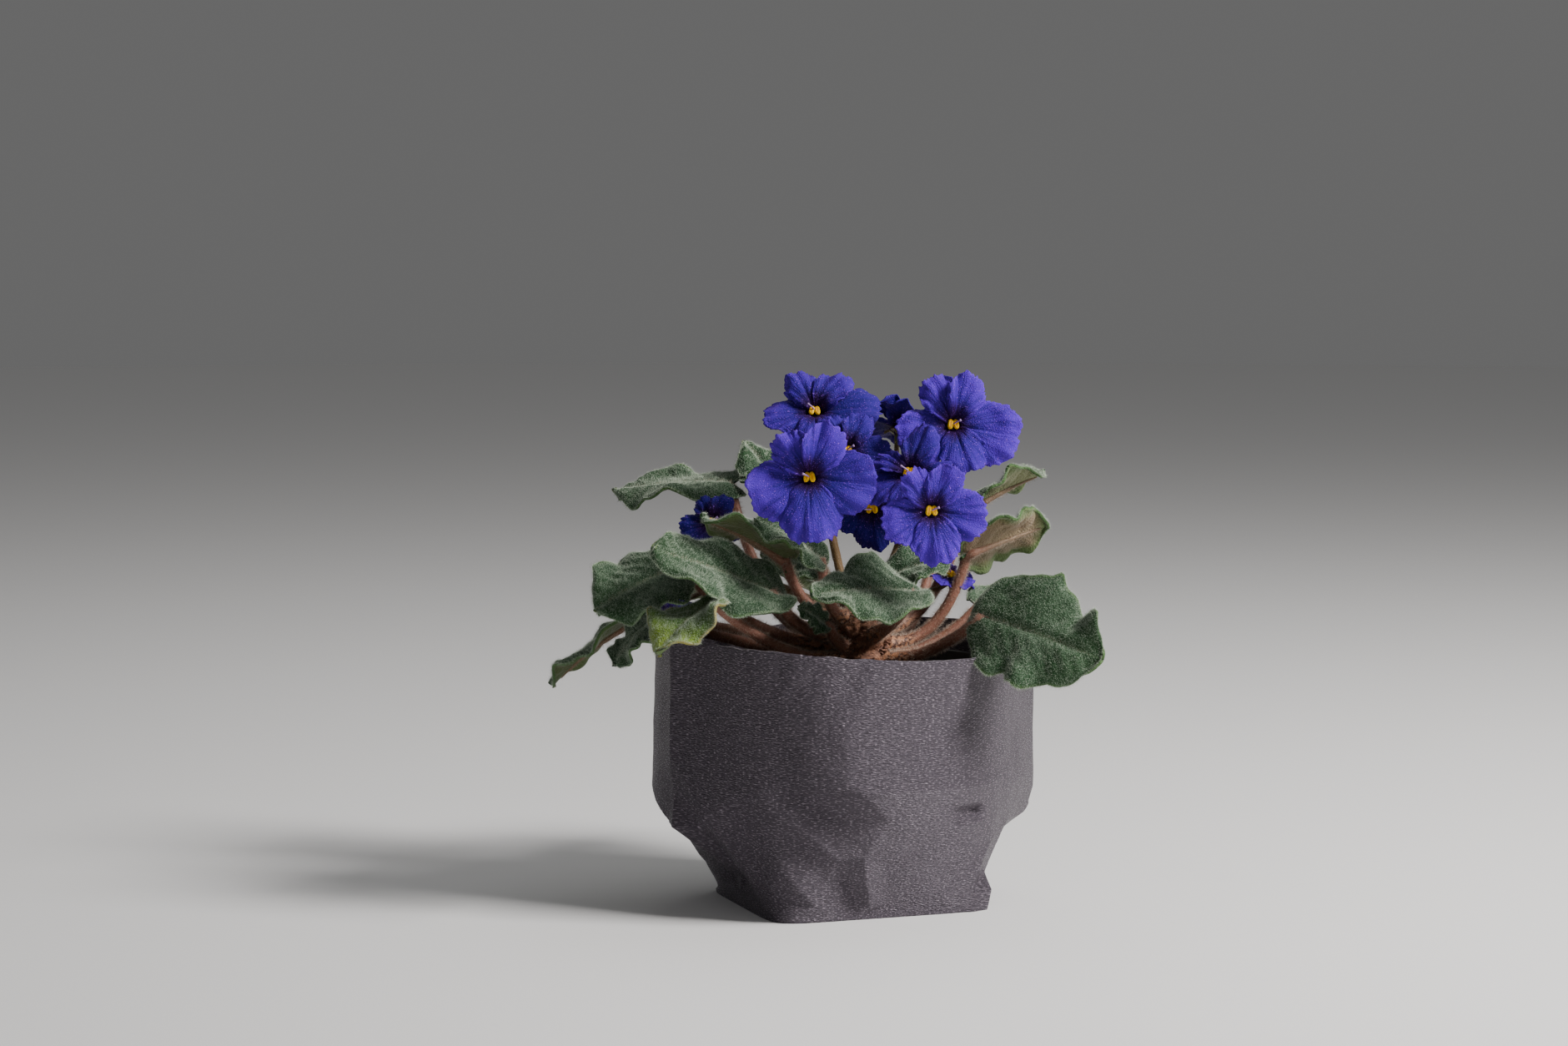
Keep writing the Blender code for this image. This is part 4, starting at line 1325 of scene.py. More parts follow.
@dataclass
class Flower:
    """One flower: five ruffled petals, two anthers with a style, five sepals and a pedicel.

    centre is the middle of the face and looks the way it faces; dish is how far the petals' ends
    stand before their throat; stalk and share say where on a flower stalk the pedicel starts; rise
    is how far it first climbs and reach how far behind the face it runs straight; shade is painted
    shade, how far the petals' colour is darkened for a flower that sits in shadow.
    """

    name: str
    centre: Place
    looks: Place
    radius: float
    dish: float
    stalk: str
    share: float
    rise: float
    reach: float
    # painted shade: how far this flower's petals are darkened, for the shadow that it sits in
    shade: float = 0.1
    petals: tuple[Fan, ...] = STANDARD
    seed: int = 0
    columns: int = 64
    rows: int = 18
    full_radius: float = 20.0

    def axes(self) -> tuple[Vector, Vector, Vector]:
        """The forward, right and up unit vectors of the face."""
        forward = Vector(self.looks).normalized()
        up = squared(UP, forward)
        return forward, up.cross(forward), up

    def rim(self, fan: Fan, key: float, across: float, v: float, tooth: float) -> float:
        """How far a petal's ragged margin is from the throat.

        Args:
            fan: the petal.
            key: what sets its ruffle apart from the others'.
            across: the ray to follow, from -1 to 1 across the fan.
            v: the share of the way out, because teeth and nicks are only near the margin.
            tooth: how far this ray's tooth stands out.

        Returns:
            The distance, in millimetres.
        """
        rim = self.radius * fan.length * math.cos(0.49 * math.pi * across) ** fan.blunt
        rim *= 1.0 + 0.06 * varied(across * 3.0, key, 0.0)
        rim *= 1.0 + 0.03 * varied(across * 11.0, key, 5.0)
        rim += 0.42 * tooth * smooth((rim - 3.0) / 3.0) * v**4
        nick = abs(varied(across * 9.0, key, 8.0)) + abs(varied(across * 19.0, key, 2.0)) - 0.4
        rim += 1.3 * nick * self.radius / self.full_radius * smooth((rim - 3.0) / 3.0) * v**4
        return rim * (1.0 - 0.05 * bell(across, 0.10) * v**6)

    def lift(self, fan: Fan, key: float, across: float, v: float, x: float, far: float) -> float:
        """How far forward a point of a petal stands.

        Args:
            fan: the petal.
            key: what sets its ruffle apart from the others'.
            across: the point's ray, from -1 to 1 across the fan.
            v: the share of the way out to the margin.
            x: the distance from the petal's middle line.
            far: the distance from the throat.

        Returns:
            The distance before the flower's flat face, in millimetres.
        """
        size = self.radius / self.full_radius
        length = self.radius * fan.length
        share = far / length
        near = smooth(share / 0.30)
        bowl = self.dish * share**2 + fan.layer * near * size - 1.8 * smooth(1.0 - far / 2.6)
        belly = 1.1 * size * math.sin(math.pi * min(1.0, share)) * (1.0 - 0.5 * across**2)
        fold = fan.fold * 2.2 * size * min(1.0, abs(x) / (0.42 * length)) * share
        roll = fan.roll * 2.4 * size * smooth((across - 0.25) / 0.6) * smooth(share / 0.5)
        crease = 0.55 * bell(x, 0.55) * near * (1.2 - share)
        wave = 1.25 * math.sin(4.2 * across + key) + 0.8 * math.sin(9.5 * across - 1.7 * key)
        wave += 0.65 * math.sin(19.0 * across + 2.3 * key + 3.0 * varied(across * 3.0, key, 9.0)) * v
        ruffle = wave * size * v**3.0
        droop = 1.5 * size * smooth((v - 0.74) / 0.26) * (0.8 + varied(across * 2.2, key, 3.0))
        veins = 0.16 * math.sin(13.0 * across + 0.6 * key) * smooth(share / 0.5)
        sway = 0.5 * wobble(Vector((x, far, key * 3.0)), 5.0) * near
        return bowl + belly - fold + roll - crease + ruffle - droop + veins + sway

    def petal(self, number: int, fan: Fan) -> tuple[BMesh, list[Sequence[float]]]:
        """Builds one petal as a fan round the throat.

        Args:
            number: which petal, to vary its ruffle.
            fan: its direction, length and set.

        Returns:
            Its mesh and its vertex tags.
        """
        forward, right, up = self.axes()
        centre = Vector(self.centre)
        key = self.seed * 7.3 + number * 2.9
        turn = math.radians(fan.turn)
        along = math.cos(turn) * right + math.sin(turn) * up
        aside = forward.cross(along)
        # this petal's painted shade: its flower's and its own, added together
        shade = min(1.0, self.shade + fan.petal_shade)
        teeth = np.random.default_rng(self.seed * 10 + number).uniform(-0.5, 1.0, self.columns + 1)
        tags = {}

        def shape(u: float, v: float) -> Vector:
            """A point of the petal, for a share across its fan and a share out from the throat."""
            column = round(u * self.columns)
            across = 2.0 * u - 1.0
            spread = math.radians(fan.spread) * across
            far = 1.0 + (self.rim(fan, key, across, v, teeth[column]) - 1.0) * v**0.94
            x = far * math.sin(spread)
            lift = self.lift(fan, key, across, v, x, far)
            tags[(column, round(v * self.rows))] = (far / self.full_radius, v, shade, 1.0)
            return centre + along * (0.6 + far * math.cos(spread)) + aside * x + forward * lift

        bm = sheet(self.columns, self.rows, shape)
        return bm, in_order(tags, self.columns, self.rows)

    def build_petals(self) -> None:
        """Builds the five petals as one corolla."""
        parts, tags = [], []
        for number, fan in enumerate(self.petals):
            bm, values = self.petal(number, fan)
            parts.append(bm)
            tags.extend(values)
        mesh = mesh_of(self.name + "_petals", joined(parts))
        tag(mesh, "petal", tags)
        piece = show(self.name + "_petals", mesh, [Petal().material()], "petal", self.name + "_corolla")
        thicken(piece, 0.3)

    def build_anthers(self) -> None:
        """Builds the two anthers, side by side, each with a groove down its front, and the style."""
        forward, right, up = self.axes()
        middle = Vector(self.centre) + forward * 1.3
        parts, tags = [], []
        for side in (-1.0, 1.0):
            lobe = bmesh.new()
            bmesh.ops.create_uvsphere(lobe, u_segments=18, v_segments=14, radius=1.0)
            lean = Matrix.Rotation(side * 0.16, 3, forward)
            for vert in lobe.verts:
                x, y, z = vert.co
                groove = bell(x, 0.30) * smooth((y + 0.3) / 0.6) * (1.0 - z * z)
                waist = 1.0 - 0.10 * bell(z, 0.35)
                local = right * (x * 1.02 * waist) + up * (z * 1.70) + forward * (y * waist - 0.36 * groove)
                vert.co = (middle + right * side * 0.90 + lean @ local) * MM
                tags.append((groove, 0.0, 0.0, 1.0))
            parts.append(closed(lobe, False))
        mesh = mesh_of(self.name + "_pollen", joined(parts))
        tag(mesh, "anther", tags)
        show(self.name + "_pollen", mesh, [Pollen().material()], "anther", self.name + "_anthers")
        lean = -1.0 if self.seed % 2 else 1.0
        start = Vector(self.centre) + forward * 0.4
        end = start + forward * 3.6 + right * lean * 2.2 + up * 0.7
        route = bezier((start, start + forward * 2.6, end), 12)

        def radius(v: float) -> float:
            """The style's radius: a thread with a wider tip."""
            return 0.24 + (0.16 if v > 0.9 else 0.0)

        style = mesh_of(self.name + "_style", tube(route, radius, 8))
        show(self.name + "_style", style, [STYLE.material()], "petal")

    def sepal(self, turn: float, seat: Vector) -> BMesh:
        """Builds one sepal.

        Args:
            turn: the way it points round the face, in radians.
            seat: the pedicel's end, behind the face.

        Returns:
            Its closed mesh.
        """
        forward, right, up = self.axes()
        spoke = math.cos(turn) * right + math.sin(turn) * up
        edge = spoke.cross(forward)

        def shape(u: float, v: float) -> Vector:
            """A point of the sepal, for a share across it and a share out from the seat."""
            across = 2.0 * u - 1.0
            half = math.sin(math.pi * (0.12 + 0.88 * v)) ** 0.8 if v < 1.0 else 0.04
            lift = 1.0 - 1.3 * (1.0 - v) ** 2 + 0.35 * abs(across) * v - 0.9 * smooth((v - 0.6) / 0.4)
            return seat + spoke * (0.5 + 4.4 * v) + edge * across * half + forward * lift

        sepal = sheet(6, 12, shape)
        bmesh.ops.recalc_face_normals(sepal, faces=sepal.faces)
        bmesh.ops.solidify(sepal, geom=sepal.faces[:], thickness=0.3 * MM)
        sepal = closed(sepal, False)
        sepal.faces.sort(key=self.order)  # solidify makes its rim's faces in no fixed order
        return sepal

    @staticmethod
    def order(face: bmesh.types.BMFace) -> float:
        """A number from a face's place, the same in every run, to sort faces by."""
        return face.calc_center_median().dot(Vector((1.0, 17.3, 291.7)))

    def build_stalk(self, crown: Crown) -> None:
        """Builds the pedicel and the five sepals, with their hairs."""
        forward = self.axes()[0]
        route = STALKS[self.stalk].route(crown)
        foot = route[round(self.share * (len(route) - 1))]
        seat = Vector(self.centre) - forward * 1.6
        line = bezier((foot, foot + UP * self.rise, seat - forward * self.reach, seat), 24)

        def radius(v: float) -> float:
            """The pedicel's radius, wider at its foot and most under the flower."""
            return 0.8 + 0.45 * smooth((v - 0.9) / 0.1) + 0.25 * smooth((0.12 - v) / 0.12)

        parts = [tube(line, radius, 10, 0.08)]
        parts += [self.sepal(math.radians(18.0 + 72.0 * i), seat) for i in range(5)]
        mesh = mesh_of(self.name + "_stem", joined(parts))
        show(self.name + "_stem", mesh, [PEDICEL.material()], "stalk", self.name + "_pedicel")
        fur = Fur(self.seed + 300, 3.0, (0.5, 1.2), 0.028)
        fur.grow(self.name + "_stem_hairs", mesh, BROWN_HAIR, "stalk", self.name + "_pedicel")

    def build(self, crown: Crown) -> None:
        """Builds the whole flower."""
        self.build_petals()
        self.build_anthers()
        self.build_stalk(crown)


TOP_LEFT = (
    Fan(117, 0.82, 56, 0.72, 3.0, 0.4), Fan(52, 0.88, 58, 0.72, 3.8, 0.4),
    Fan(190, 0.92, 58, 0.60, 0.3, 0.2), Fan(4, 1.18, 60, 0.60, 0.0, 0.2, 0.0, 0.35),
    Fan(275, 0.90, 58, 0.60, 1.8, 0.4),
)
FRONT_LEFT = (
    Fan(125, 0.80, 58, 0.76, 3.2, 0.5), Fan(63, 0.86, 58, 0.72, 4.3, 0.4, 1.7),
    Fan(203, 1.00, 66, 0.56, 0.2, 0.2), Fan(352, 1.06, 66, 0.56, 0.0, 0.2, 0.0, 0.35),
    Fan(271, 1.06, 60, 0.54, 2.2, 1.5, 0.0, 0.22),
)
TOP_RIGHT = (
    Fan(117, 0.82, 56, 0.70, 3.0, 0.4), Fan(66, 0.80, 56, 0.72, 4.2, 0.4, 1.8),
    Fan(202, 0.96, 66, 0.56, 0.3, 0.2), Fan(347, 1.10, 66, 0.58, 0.0, 0.3),
    Fan(284, 0.84, 62, 0.56, 1.6, 1.0, 0.0, 0.40),
)
MID_RIGHT = (
    Fan(160, 0.72, 52, 0.80, 2.8, 0.4), Fan(76, 0.98, 56, 0.72, 3.2, 0.4, 0.8, 0.35),
    Fan(212, 1.00, 60, 0.60, 0.4, 0.2), Fan(350, 0.95, 60, 0.60, 0.2, 0.2, 0.0, 0.4),
    Fan(282, 1.0, 58, 0.60, 1.6, 0.6),
)
FRONT_RIGHT = (
    Fan(120, 0.84, 56, 0.76, 3.1, 0.5), Fan(64, 0.90, 56, 0.74, 3.8, 0.5, 1.0),
    Fan(202, 0.96, 66, 0.56, 0.3, 0.2), Fan(352, 1.02, 66, 0.54, 0.0, 0.2),
    Fan(277, 1.02, 62, 0.56, 2.2, 1.1),
)
FLOWERS = (
    Flower("flower_top_left", (-10, 4, 159), (-0.05, -0.75, 0.65), 18, 1.5, "stalk_left", 1.0, 8, 10, 0.45,
           TOP_LEFT),
    Flower("flower_centre", (0, -13, 147.5), (0.05, -0.9, 0.4), 14, 1.5, "stalk_left", 0.9, 4, 8, 0.7),
    Flower("flower_front_left", (-12, -36, 141), (-0.02, -0.97, 0.2), 20, 3.4, "stalk_left", 0.75, 0, 14, 0.1,
           FRONT_LEFT),
    Flower("flower_top_right", (34, -12, 156), (0.1, -0.95, 0.3), 20, 3.2, "stalk_right", 1.0, 8, 12, 0.0,
           TOP_RIGHT),
    Flower("flower_mid_right", (20, -28, 141.5), (-0.35, -0.75, 0.55), 16, 1.5, "stalk_right", 0.83, 2, 10,
           0.25, MID_RIGHT),
    Flower("flower_front_right", (26, -43, 131), (0.05, -0.97, 0.2), 16.5, 2.6, "stalk_right", 0.67, 1, 16,
           0.05, FRONT_RIGHT),
    Flower("flower_low_centre", (8.5, -4, 129), (-0.1, -0.95, -0.25), 13, 1.5, "stalk_right", 0.67, 0, 6,
           0.95),
    Flower("flower_back_right", (18, 16, 152.5), (0.3, 0.4, 0.85), 17, 1.5, "stalk_right", 0.83, 6, 8, 0.8),
    Flower("flower_low_right", (34, 8, 105), (0.3, -0.3, 0.9), 8.5, 1.0, "stalk_right", 0.17, -2, 5, 0.2),
    Flower("flower_left", (-43, 7, 122.5), (-0.2, -0.85, 0.5), 10.5, 1.5, "stalk_side", 1.0, 4, 8, 1.0),
    Flower("flower_left_low", (-55, -20, 97), (-0.3, -0.8, -0.5), 9.0, 1.0, "stalk_side", 0.9, 0, 6, 0.6),
)


# --------------------------------------------------------------- pot and soil
@dataclass
class NurseryPot:
    """The thin plastic pot inside the bag."""

    floor: float = 0.9
    foot_radius: float = 31.5
    lip_radius: float = 50.0
    height: float = 77.0
    lip: float = 8.0
    wall: float = 1.1

    def build(self) -> None:
        """Spins the wall's profile round the pot's axis."""
        top = self.floor + self.height
        neck = self.lip_radius - 1.2
        corners = (
            (0.0, self.floor), (self.foot_radius - 2.0, self.floor), (self.foot_radius, self.floor + 2.0),
            (neck, top - self.lip - 1.2), (self.lip_radius, top - self.lip), (self.lip_radius, top),
            (self.lip_radius - self.wall, top), (self.lip_radius - self.wall, top - self.lip + 1.2),
            (neck - self.wall, top - self.lip), (self.foot_radius - self.wall, self.floor + 3.0),
            (self.foot_radius - 3.0, self.floor + self.wall), (0.0, self.floor + self.wall),
        )
        bm = bmesh.new()
        verts = [bm.verts.new(Vector((x, 0.0, z)) * MM) for x, z in corners]
        edges = [bm.edges.new(pair) for pair in zip(verts, verts[1:])]
        bmesh.ops.spin(
            bm, geom=verts + edges, cent=(0, 0, 0), axis=(0, 0, 1), angle=math.tau, steps=96, use_merge=True
        )
        bm = closed(bm, False)
        rounded = [e for e in bm.edges if e.calc_face_angle(0.0) > 0.6]
        bmesh.ops.bevel(
            bm, geom=rounded, offset=0.3 * MM, segments=2, profile=0.5, affect="EDGES", material=-1
        )
        mesh = mesh_of("pot_wall", bm)
        mesh.set_sharp_from_angle(angle=math.radians(50))
        show("pot_wall", mesh, [PotPlastic().material()], "pot", "nursery_pot")


@dataclass
class Soil:
    """Damp peat that fills the pot, with loose crumbs on top.

    edge and mound are its heights at the pot's wall and round the crown, which it climbs to over
    slope, lump and grain are how rough it is, and depth is how much of the root ball is built.
    """

    radius: float = 46.6
    edge: float = 71.0
    mound: float = 77.0
    slope: float = 40.0
    lump: float = 1.1
    grain: float = 0.6
    depth: float = 12.0
    crumbs: int = 900

    def height(self, x: float, y: float, crown: Crown) -> float:
        """The soil's top at a place."""
        away = math.hypot(x - crown.at[0], y - crown.at[1])
        rise = (self.mound - self.edge) * smooth(1.0 - away / self.slope)
        rough = self.lump * wobble(Vector((x, y, 0.0)), 7.0) + self.grain * wobble(Vector((x, y, 9.0)), 2.5)
        return self.edge + rise + rough

    def crumb(self, rng: np.random.Generator, crown: Crown) -> Matrix:
        """The place, turn and size of one crumb."""
        turn, out = rng.uniform(0.0, math.tau), (self.radius - 1.5) * math.sqrt(rng.random())
        x, y = out * math.cos(turn), out * math.sin(turn)
        size = Vector(rng.uniform(0.35, 1.0, 3) * rng.uniform(0.6, 1.5)) * MM
        spot = Vector((x, y, self.height(x, y, crown) + 0.1)) * MM
        turned = Matrix.Rotation(rng.uniform(0, 6.3), 4, Vector(rng.normal(size=3)))
        return Matrix.Translation(spot) @ turned @ Matrix.Diagonal((*size, 1.0))

    def build(self, crown: Crown) -> None:
        """Builds the root ball's top and its crumbs."""
        top = 0.8  # the share of the sheet that is the soil's face; the rest is its side

        def shape(u: float, v: float) -> Vector:
            """A point of the soil, for a share round it and a share out and down from its middle."""
            turn = 2.0 * math.pi * (u % 1.0)
            if v < top:
                out = self.radius * v / top
                x, y = out * math.cos(turn), out * math.sin(turn)
                drop = 2.0 * smooth((out - self.radius + 3.0) / 3.0)
                return Vector((x, y, self.height(x, y, crown) - drop))
            down = (v - top) / (1.0 - top)
            return ray(turn) * (self.radius - 2.6 * down) + UP * (self.edge - 2.0 - self.depth * down)

        ball = mesh_of("soil_ball", closed(sheet(120, 60, shape)))
        show("soil_ball", ball, [Peat().material()], "soil", "potting_soil")
        rng = np.random.default_rng(5)
        places = np.array([self.crumb(rng, crown) for _ in range(self.crumbs)])
        mesh = roughened(scattered("soil_crumbs", pebble(), places), 1.3, 0.3)
        show("soil_crumbs", mesh, [Peat().material()], "soil")


# ---------------------------------------------------------------- paper bag
@dataclass
class PaperBag:
    """The folded bag of stiff creped paper that the pot stands in.

    turn is how far the whole bag is turned; half_length, half_width and squareness give its folded
    base, waist the round middle, and corners the turn and reach of each upright fold. swell is a
    bulge: its turn, its reach and its spread. The wall runs from the base to its full width at
    wall_foot, or crease_foot at a fold. dents are the points of the crumpled facets: each one's
    turn round the bag, its height, and how far it stands out from the plain wall, or in if it is
    negative. back_dents are scattered where the list has none, between back_turns, at least
    low_gap apart below low_part and high_gap apart above it. tuck is the flat facet that cuts one
    lower corner off: the turn and the rise of the way it faces, and its distance from the middle.
    ear is the point of paper folded out at its foot: its turn, its height and how far it stands
    out. unrolled is the sheet's length and height in decimetres, for its UV map.
    """

    turn: float = 20.0
    half_length: float = 36.0
    half_width: float = 34.0
    squareness: float = 8.0
    waist: float = 54.5
    corners: tuple[tuple[float, float], ...] = ((0.0, 12.0), (180.0, 3.0))
    swell: Place = (152.0, 8.5, 44.0)
    crease_foot: float = 27.0
    wall_foot: float = 44.0
    rim: float = 86.0
    rim_wave: float = 1.8
    rim_peak: float = 225.0
    paper: float = 0.35
    columns: int = 340
    rows: int = 112
    unrolled: tuple[float, float] = (3.4, 0.86)
    tuck: Place = (322.6, -15.7, 42.2)
    ear: Place = (319.0, 13.5, 5.0)
    back_turns: tuple[float, float] = (14.0, 166.0)
    back_dents: int = 60
    low_part: float = 48.0
    low_gap: float = 11.0
    high_gap: float = 18.0
    dents: tuple[tuple[float, float, float], ...] = (
        (180, 90, 0.0), (180, 66, 0.0), (180, 50, 0.4), (200, 90, -0.3), (200, 66, -0.6), (222, 90, -0.5),
        (223, 64, -1.3), (249, 90, 0.5), (249, 68, 1.3), (250, 48, 1.5), (275, 90, -0.2), (278, 62, -0.3),
        (305, 90, 0.2), (311, 58, -0.2), (336, 90, 0.0), (338, 60, 0.2), (360, 90, 0.0), (360, 52, 0.0),
        (173, 46, 0.2), (187, 43, 1.8), (194, 35, 2.2), (198, 26, 2.0), (203, 14, 1.4), (206, 3, 0.0),
        (180, 36, -1.2), (188, 28, -2.0), (190, 15, -1.6), (182, 20, 0.6), (180, 4, 0.0), (168, 24, -0.5),
        (206, 47, -0.8), (208, 39, 0.2), (221, 36, 1.0), (230, 32, 1.2), (238, 28, 1.3), (246, 21, 0.7),
        (216, 48, -1.0), (232, 41, -1.3), (243, 35, -1.5), (222, 25, 0.3), (236, 20, -0.3), (210, 26, -0.3),
        (225, 17, 1.0), (231, 12, 1.5), (237, 5, 1.3), (214, 12, -1.0), (224, 7, -0.9), (216, 0, 0.2),
        (240, 13, -0.3), (246, 14, -1.0), (251, 7, -1.2), (254, 0, 0.0), (257, 22, 0.6), (259, 12, 1.3),
        (262, 4, 0.9), (268, 15, -0.3), (272, 5, -0.2), (266, 34, 0.3), (276, 27, 0.0), (285, 14, 0.2),
        (292, 3, 0.0), (284, 46, 0.1), (282, 38, 0.1), (293, 38.5, 0.4), (303, 38, 0.5), (291, 36, -0.4),
        (298, 35.8, -1.5), (304, 35.2, -1.9), (306.5, 36, 0.6), (293, 31, 0.8), (302, 31, 1.3),
        (309, 31, 0.6),
        (318, 44, -0.2), (322, 28, 0.3), (306, 15, 0.2), (298, 8, 0.0),
        (360, 40, 0.6), (350, 36, 1.8), (336, 27, 2.4), (325, 20, 2.6), (316, 11, 2.2), (309, 4.5, 1.4),
        (362, 22, 0.0), (350, 20, 1.0), (340, 14, 0.0), (330, 8.5, -0.6), (350, 3, -0.8), (322, 1, -0.5),
        (312, 0, 0.4), (336, 0, -0.6),
        (228, 86, -0.6), (233, 83, 0.2), (239, 80, -0.5), (243, 86, 0.3), (254, 82, -0.4), (256, 87, -0.9),
        (260, 84, 0.2), (265, 87, -0.2), (213, 86, 0.3), (207, 81, -0.4),
    )

    def base(self, turn: float) -> float:
        """The folded base's radius."""
        angle = math.radians(turn)
        along = (abs(math.cos(angle)) / self.half_length) ** self.squareness
        across = (abs(math.sin(angle)) / self.half_width) ** self.squareness
        return (along + across) ** (-1.0 / self.squareness)

    def radius(self, turn: float, height: float) -> float:
        """The plain outer wall's radius, from the folded base to the round waist and its flat corners."""
        place, reach, spread = self.swell
        waist = self.waist + reach * smooth(1.0 - apart(turn, place) / spread)
        for corner, reach in self.corners:
            flat = math.acos(self.waist / (self.waist + reach))
            gap = max(0.0, flat - math.radians(apart(turn, corner)))
            waist += self.waist / math.cos(gap) - self.waist
        nearness = max(1.0 - apart(turn, corner) / 45.0 for corner, _ in self.corners)
        foot = self.wall_foot + (self.crease_foot - self.wall_foot) * smooth(nearness)
        start = 2.0 + 8.0 * smooth(nearness)
        share = min(1.0, max(0.0, (height - start) / (foot - start)))
        return self.base(turn) + (waist - self.base(turn)) * share

    def all_dents(self) -> list[Place]:
        """The listed dents and the ones scattered over the back."""
        rng = np.random.default_rng(7)
        dents = list(self.dents)
        wanted = len(dents) + self.back_dents
        while len(dents) < wanted:
            turn, height = rng.uniform(*self.back_turns), rng.uniform(0.0, 90.0)
            low = height < self.low_part
            gap = self.low_gap if low else self.high_gap
            if all(math.hypot(turn - dent[0], height - dent[1]) > gap for dent in dents):
                dents.append((turn, height, rng.uniform(-2.0, 2.0) * (1.0 if low else 0.5)))
            elif rng.random() <= 0.05:
                wanted -= 1  # the back is filling up
        return dents

    def facets(self) -> BVHTree:
        """The crumpled facets, with the wall unrolled flat and each dent as its rise."""
        laps = (-360.0, 0.0, 360.0)
        wrapped = [(turn + lap, height, rise) for turn, height, rise in self.all_dents() for lap in laps]
        flat = [Vector((turn, height)) for turn, height, _ in wrapped]
        corners, _, faces, origins, _, _ = delaunay_2d_cdt(flat, [], [], 0, 1e-4)
        points = [Vector((*corner, wrapped[origin[0]][2])) for corner, origin in zip(corners, origins)]
        return BVHTree.FromPolygons(points, faces)

    def folded(self, radius: float, turn: float, height: float) -> float:
        """The radius where the tuck cuts the wall and the ear stands out of it.

        Args:
            radius: the crumpled wall's radius.
            turn: the place round the bag, in degrees.
            height: the place up it.

        Returns:
            The radius after both folds.
        """
        facing, rise, distance = self.tuck
        aside = math.cos(math.radians(turn - facing))
        if aside > 0.5:
            rise = math.radians(rise)
            radius = min(radius, (distance - height * math.sin(rise)) / (math.cos(rise) * aside))
        at, top, out = self.ear
        share = max(0.0, 1.0 - height / top)
        return radius + out * max(0.0, 1.0 - apart(turn, at) / (2.0 + 8.0 * share)) * min(1.0, 2.0 * share)

    def point(self, turn: float, height: float, facets: BVHTree) -> Vector:
        """A point of the outer face, with its crumples.

        Args:
            turn: the place round the bag, in degrees.
            height: the place up it.
            facets: the crumpled facets.

        Returns:
            The point, in millimetres.
        """
        above = Vector((turn, min(89.0, max(0.01, height)), 50.0))
        radius = self.radius(turn, height) + facets.ray_cast(above, -UP)[0].z
        radius = self.folded(radius, turn, height)
        angle = math.radians(turn + self.turn)
        spot = ray(angle) * radius + UP * height
        crumple = 0.4 * wobble(spot, 26.0) - 0.4 * abs(wobble(spot + Vector((9, 4, 2)), 15.0))
        crumple += 0.10 * wobble(spot, 5.0)
        radius += crumple * smooth(height / 6.0)
        wave = self.rim_wave * math.cos(2.0 * (angle - math.radians(self.rim_peak))) * height / self.rim
        wave += 0.5 * varied(angle * 9.0, 0.0, 0.0) * smooth((height - 60.0) / 26.0)
        return ray(angle) * radius + UP * (height + wave)

    def build(self) -> None:
        """Builds the bag's wall and its folded base."""
        facets = self.facets()

        def shape(u: float, v: float) -> Vector:
            """A point of the wall, for a share round it and a share up it."""
            return self.point(360.0 * (u % 1.0), self.rim * v, facets)

        bm = sheet(self.columns, self.rows, shape)
        layer = bm.loops.layers.uv.active
        for face in bm.faces:
            for loop in face.loops:
                loop[layer].uv *= Vector(self.unrolled)
        bmesh.ops.remove_doubles(bm, verts=bm.verts, dist=WELD)
        bottom = [e for e in bm.edges if e.is_boundary and all(v.co.z < 1.0 * MM for v in e.verts)]
        filled = bmesh.ops.holes_fill(bm, edges=bottom, sides=0)["faces"]
        bmesh.ops.inset_region(bm, faces=filled, thickness=4.0 * MM, depth=-0.12 * MM, use_even_offset=True)
        bmesh.ops.recalc_face_normals(bm, faces=bm.faces)
        for vert in bm.verts:
            vert.co.z = max(vert.co.z, 0.0)
        sides = [Crepe().material(), PAPER_EDGE.material()]
        piece = show("bag", mesh_of("bag", bm), sides, "paper", "paper_bag")
        thicken(piece, self.paper, edge=1)


# ------------------------------------------------------------------- studio
@dataclass(frozen=True)
class Lamp:
    """A soft square light: its place and size in metres, its power in watts and its colour."""

    name: str
    at: Place
    size: float
    power: float
    colour: Colour = (1.0, 1.0, 1.0)

    def build(self, aim: Vector) -> None:
        """Adds the light, facing a point."""
        lamp = bpy.data.lights.new(self.name, "AREA")
        lamp.size = self.size
        lamp.energy = self.power
        lamp.color = self.colour
        thing = bpy.data.objects.new(self.name, lamp)
        thing.location = self.at
        thing.rotation_euler = (aim - Vector(self.at)).to_track_quat("-Z", "Y").to_euler()
        bpy.context.scene.collection.objects.link(thing)


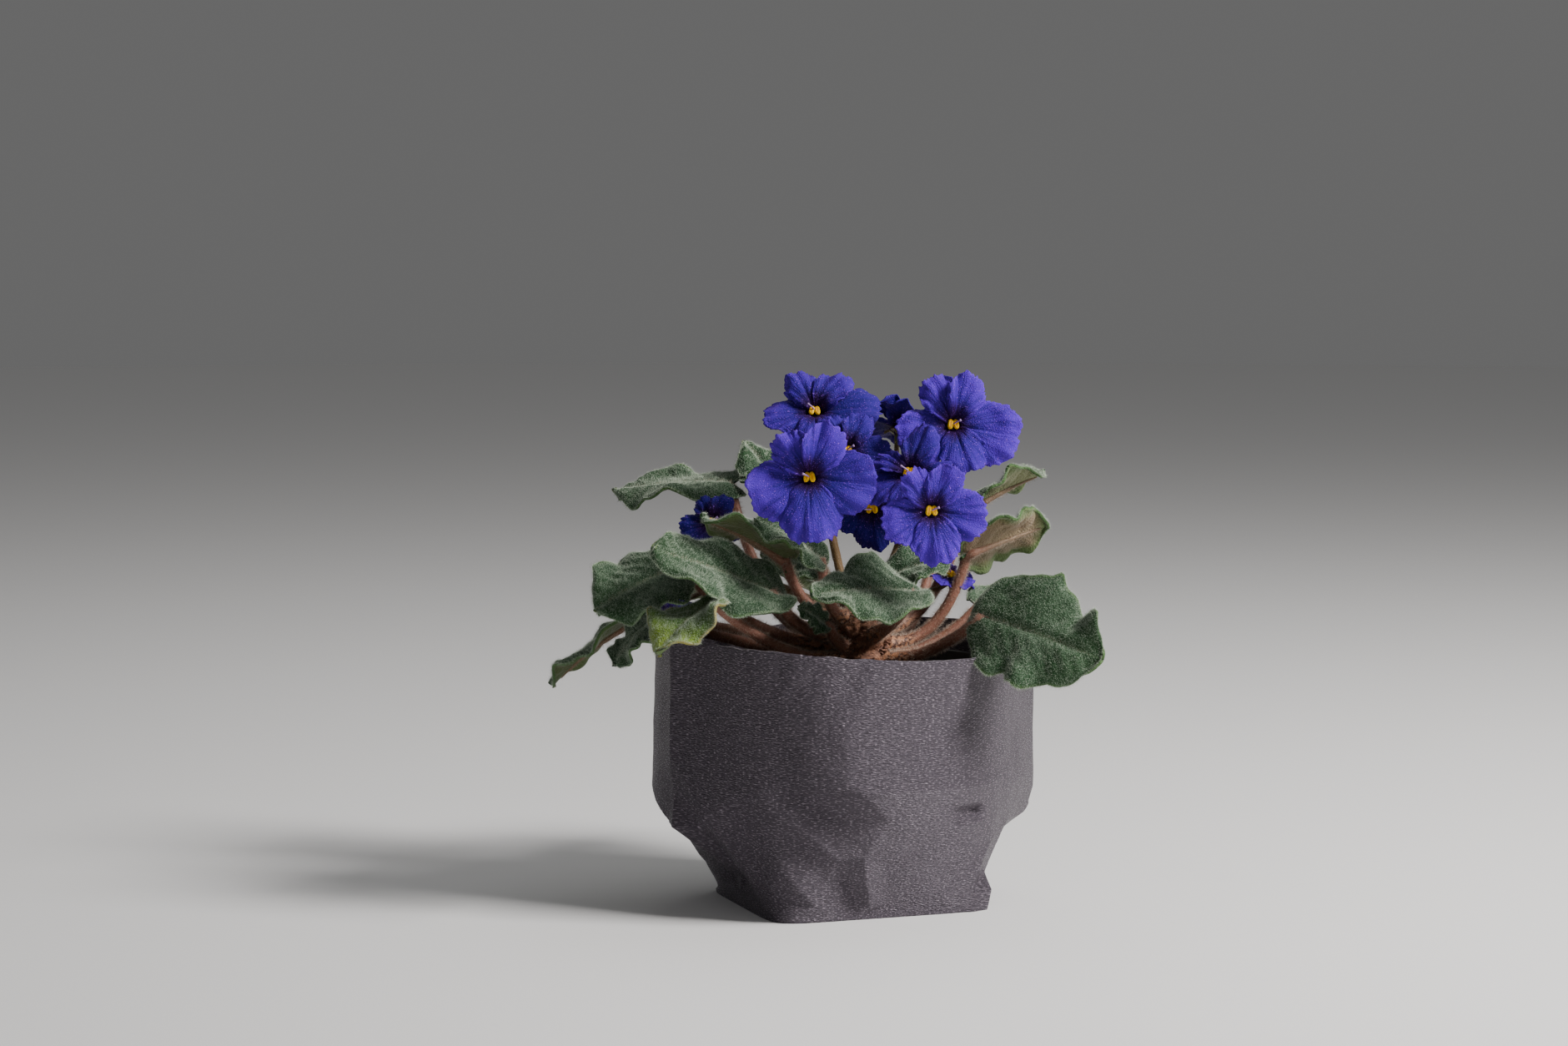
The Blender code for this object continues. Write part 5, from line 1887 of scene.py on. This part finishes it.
@dataclass
class Studio:
    """A pale floor, soft lights and the camera, all in metres.

    target is the point that the camera looks at and plant the one that the lamps face. horizon and
    zenith are the colours of the world round them, and glow its strength.
    """

    lens: float = 85.0
    distance: float = 1.2
    elevation: float = 5.0
    target: Place = (-0.020, 0.0, 0.1235)
    floor: float = 4.0
    horizon: Colour = (0.87, 0.868, 0.866)
    zenith: Colour = (1.0, 1.0, 1.0)
    glow: float = 0.16
    plant: Place = (0.0, 0.0, 0.09)
    lamps: tuple[Lamp, ...] = (
        Lamp("key", (0.84, -0.36, 0.86), 0.36, 26.0, (1.0, 0.97, 0.95)),
        Lamp("top", (0.15, 0.45, 1.0), 0.8, 2.0),
        Lamp("fill", (-0.6, -1.1, 0.5), 1.2, 0.35, (0.90, 0.95, 1.0)),
    )

    def build_floor(self) -> None:
        """Lays the floor, which isn't part of the plant."""
        bm = bmesh.new()
        bmesh.ops.create_circle(bm, cap_ends=True, segments=96, radius=self.floor)
        mesh = bpy.data.meshes.new("floor")
        bm.to_mesh(mesh)
        bm.free()
        mesh.materials.append(FLOOR.material())
        stage = bpy.data.objects.new("floor", mesh)
        bpy.context.scene.collection.objects.link(stage)

    def build_world(self) -> None:
        """Surrounds the plant with an even light, paler overhead."""
        world = bpy.data.worlds.new("studio")
        world.use_nodes = True
        back = world.node_tree.nodes["Background"]
        sky = Nodes(world.node_tree)
        upward = sky.add("SeparateXYZ", {0: sky.add("TexCoord").outputs["Generated"]}).outputs["Z"]
        colour = sky.mix(sky.step(upward, 0.02, 0.50), self.horizon, self.zenith)
        world.node_tree.links.new(colour, back.inputs["Color"])
        back.inputs["Strength"].default_value = self.glow
        bpy.context.scene.world = world

    def build_camera(self) -> None:
        """Sets the camera before the plant, a little above it."""
        camera = bpy.data.cameras.new("camera")
        camera.lens = self.lens
        camera.sensor_width = 36.0
        camera.clip_start = 0.01
        view = bpy.data.objects.new("camera", camera)
        tilt = math.radians(self.elevation)
        away = self.distance * Vector((0.0, -math.cos(tilt), math.sin(tilt)))
        view.location = Vector(self.target) + away
        view.rotation_euler = (math.radians(90.0) - tilt, 0.0, 0.0)
        bpy.context.scene.collection.objects.link(view)
        bpy.context.scene.camera = view

    def build(self) -> None:
        """Sets the floor, the lights, the world and the camera."""
        self.build_floor()
        for lamp in self.lamps:
            lamp.build(Vector(self.plant))
        self.build_world()
        self.build_camera()


def main() -> None:
    """Builds the studio, then the plant from the bag up."""
    logging.basicConfig(level=logging.INFO, format="%(message)s")
    Studio().build()
    crown = Crown()
    PaperBag().build()
    NurseryPot().build()
    Soil().build(crown)
    crown.build()
    for number, leaf in enumerate(LEAVES):
        leaf.seed = number + 1
        leaf.build(crown)
    for stalk in STALKS.values():
        stalk.build(crown)
    for number, flower in enumerate(FLOWERS):
        flower.seed = number + 1
        flower.build(crown)


if __name__ == "__main__":
    main()
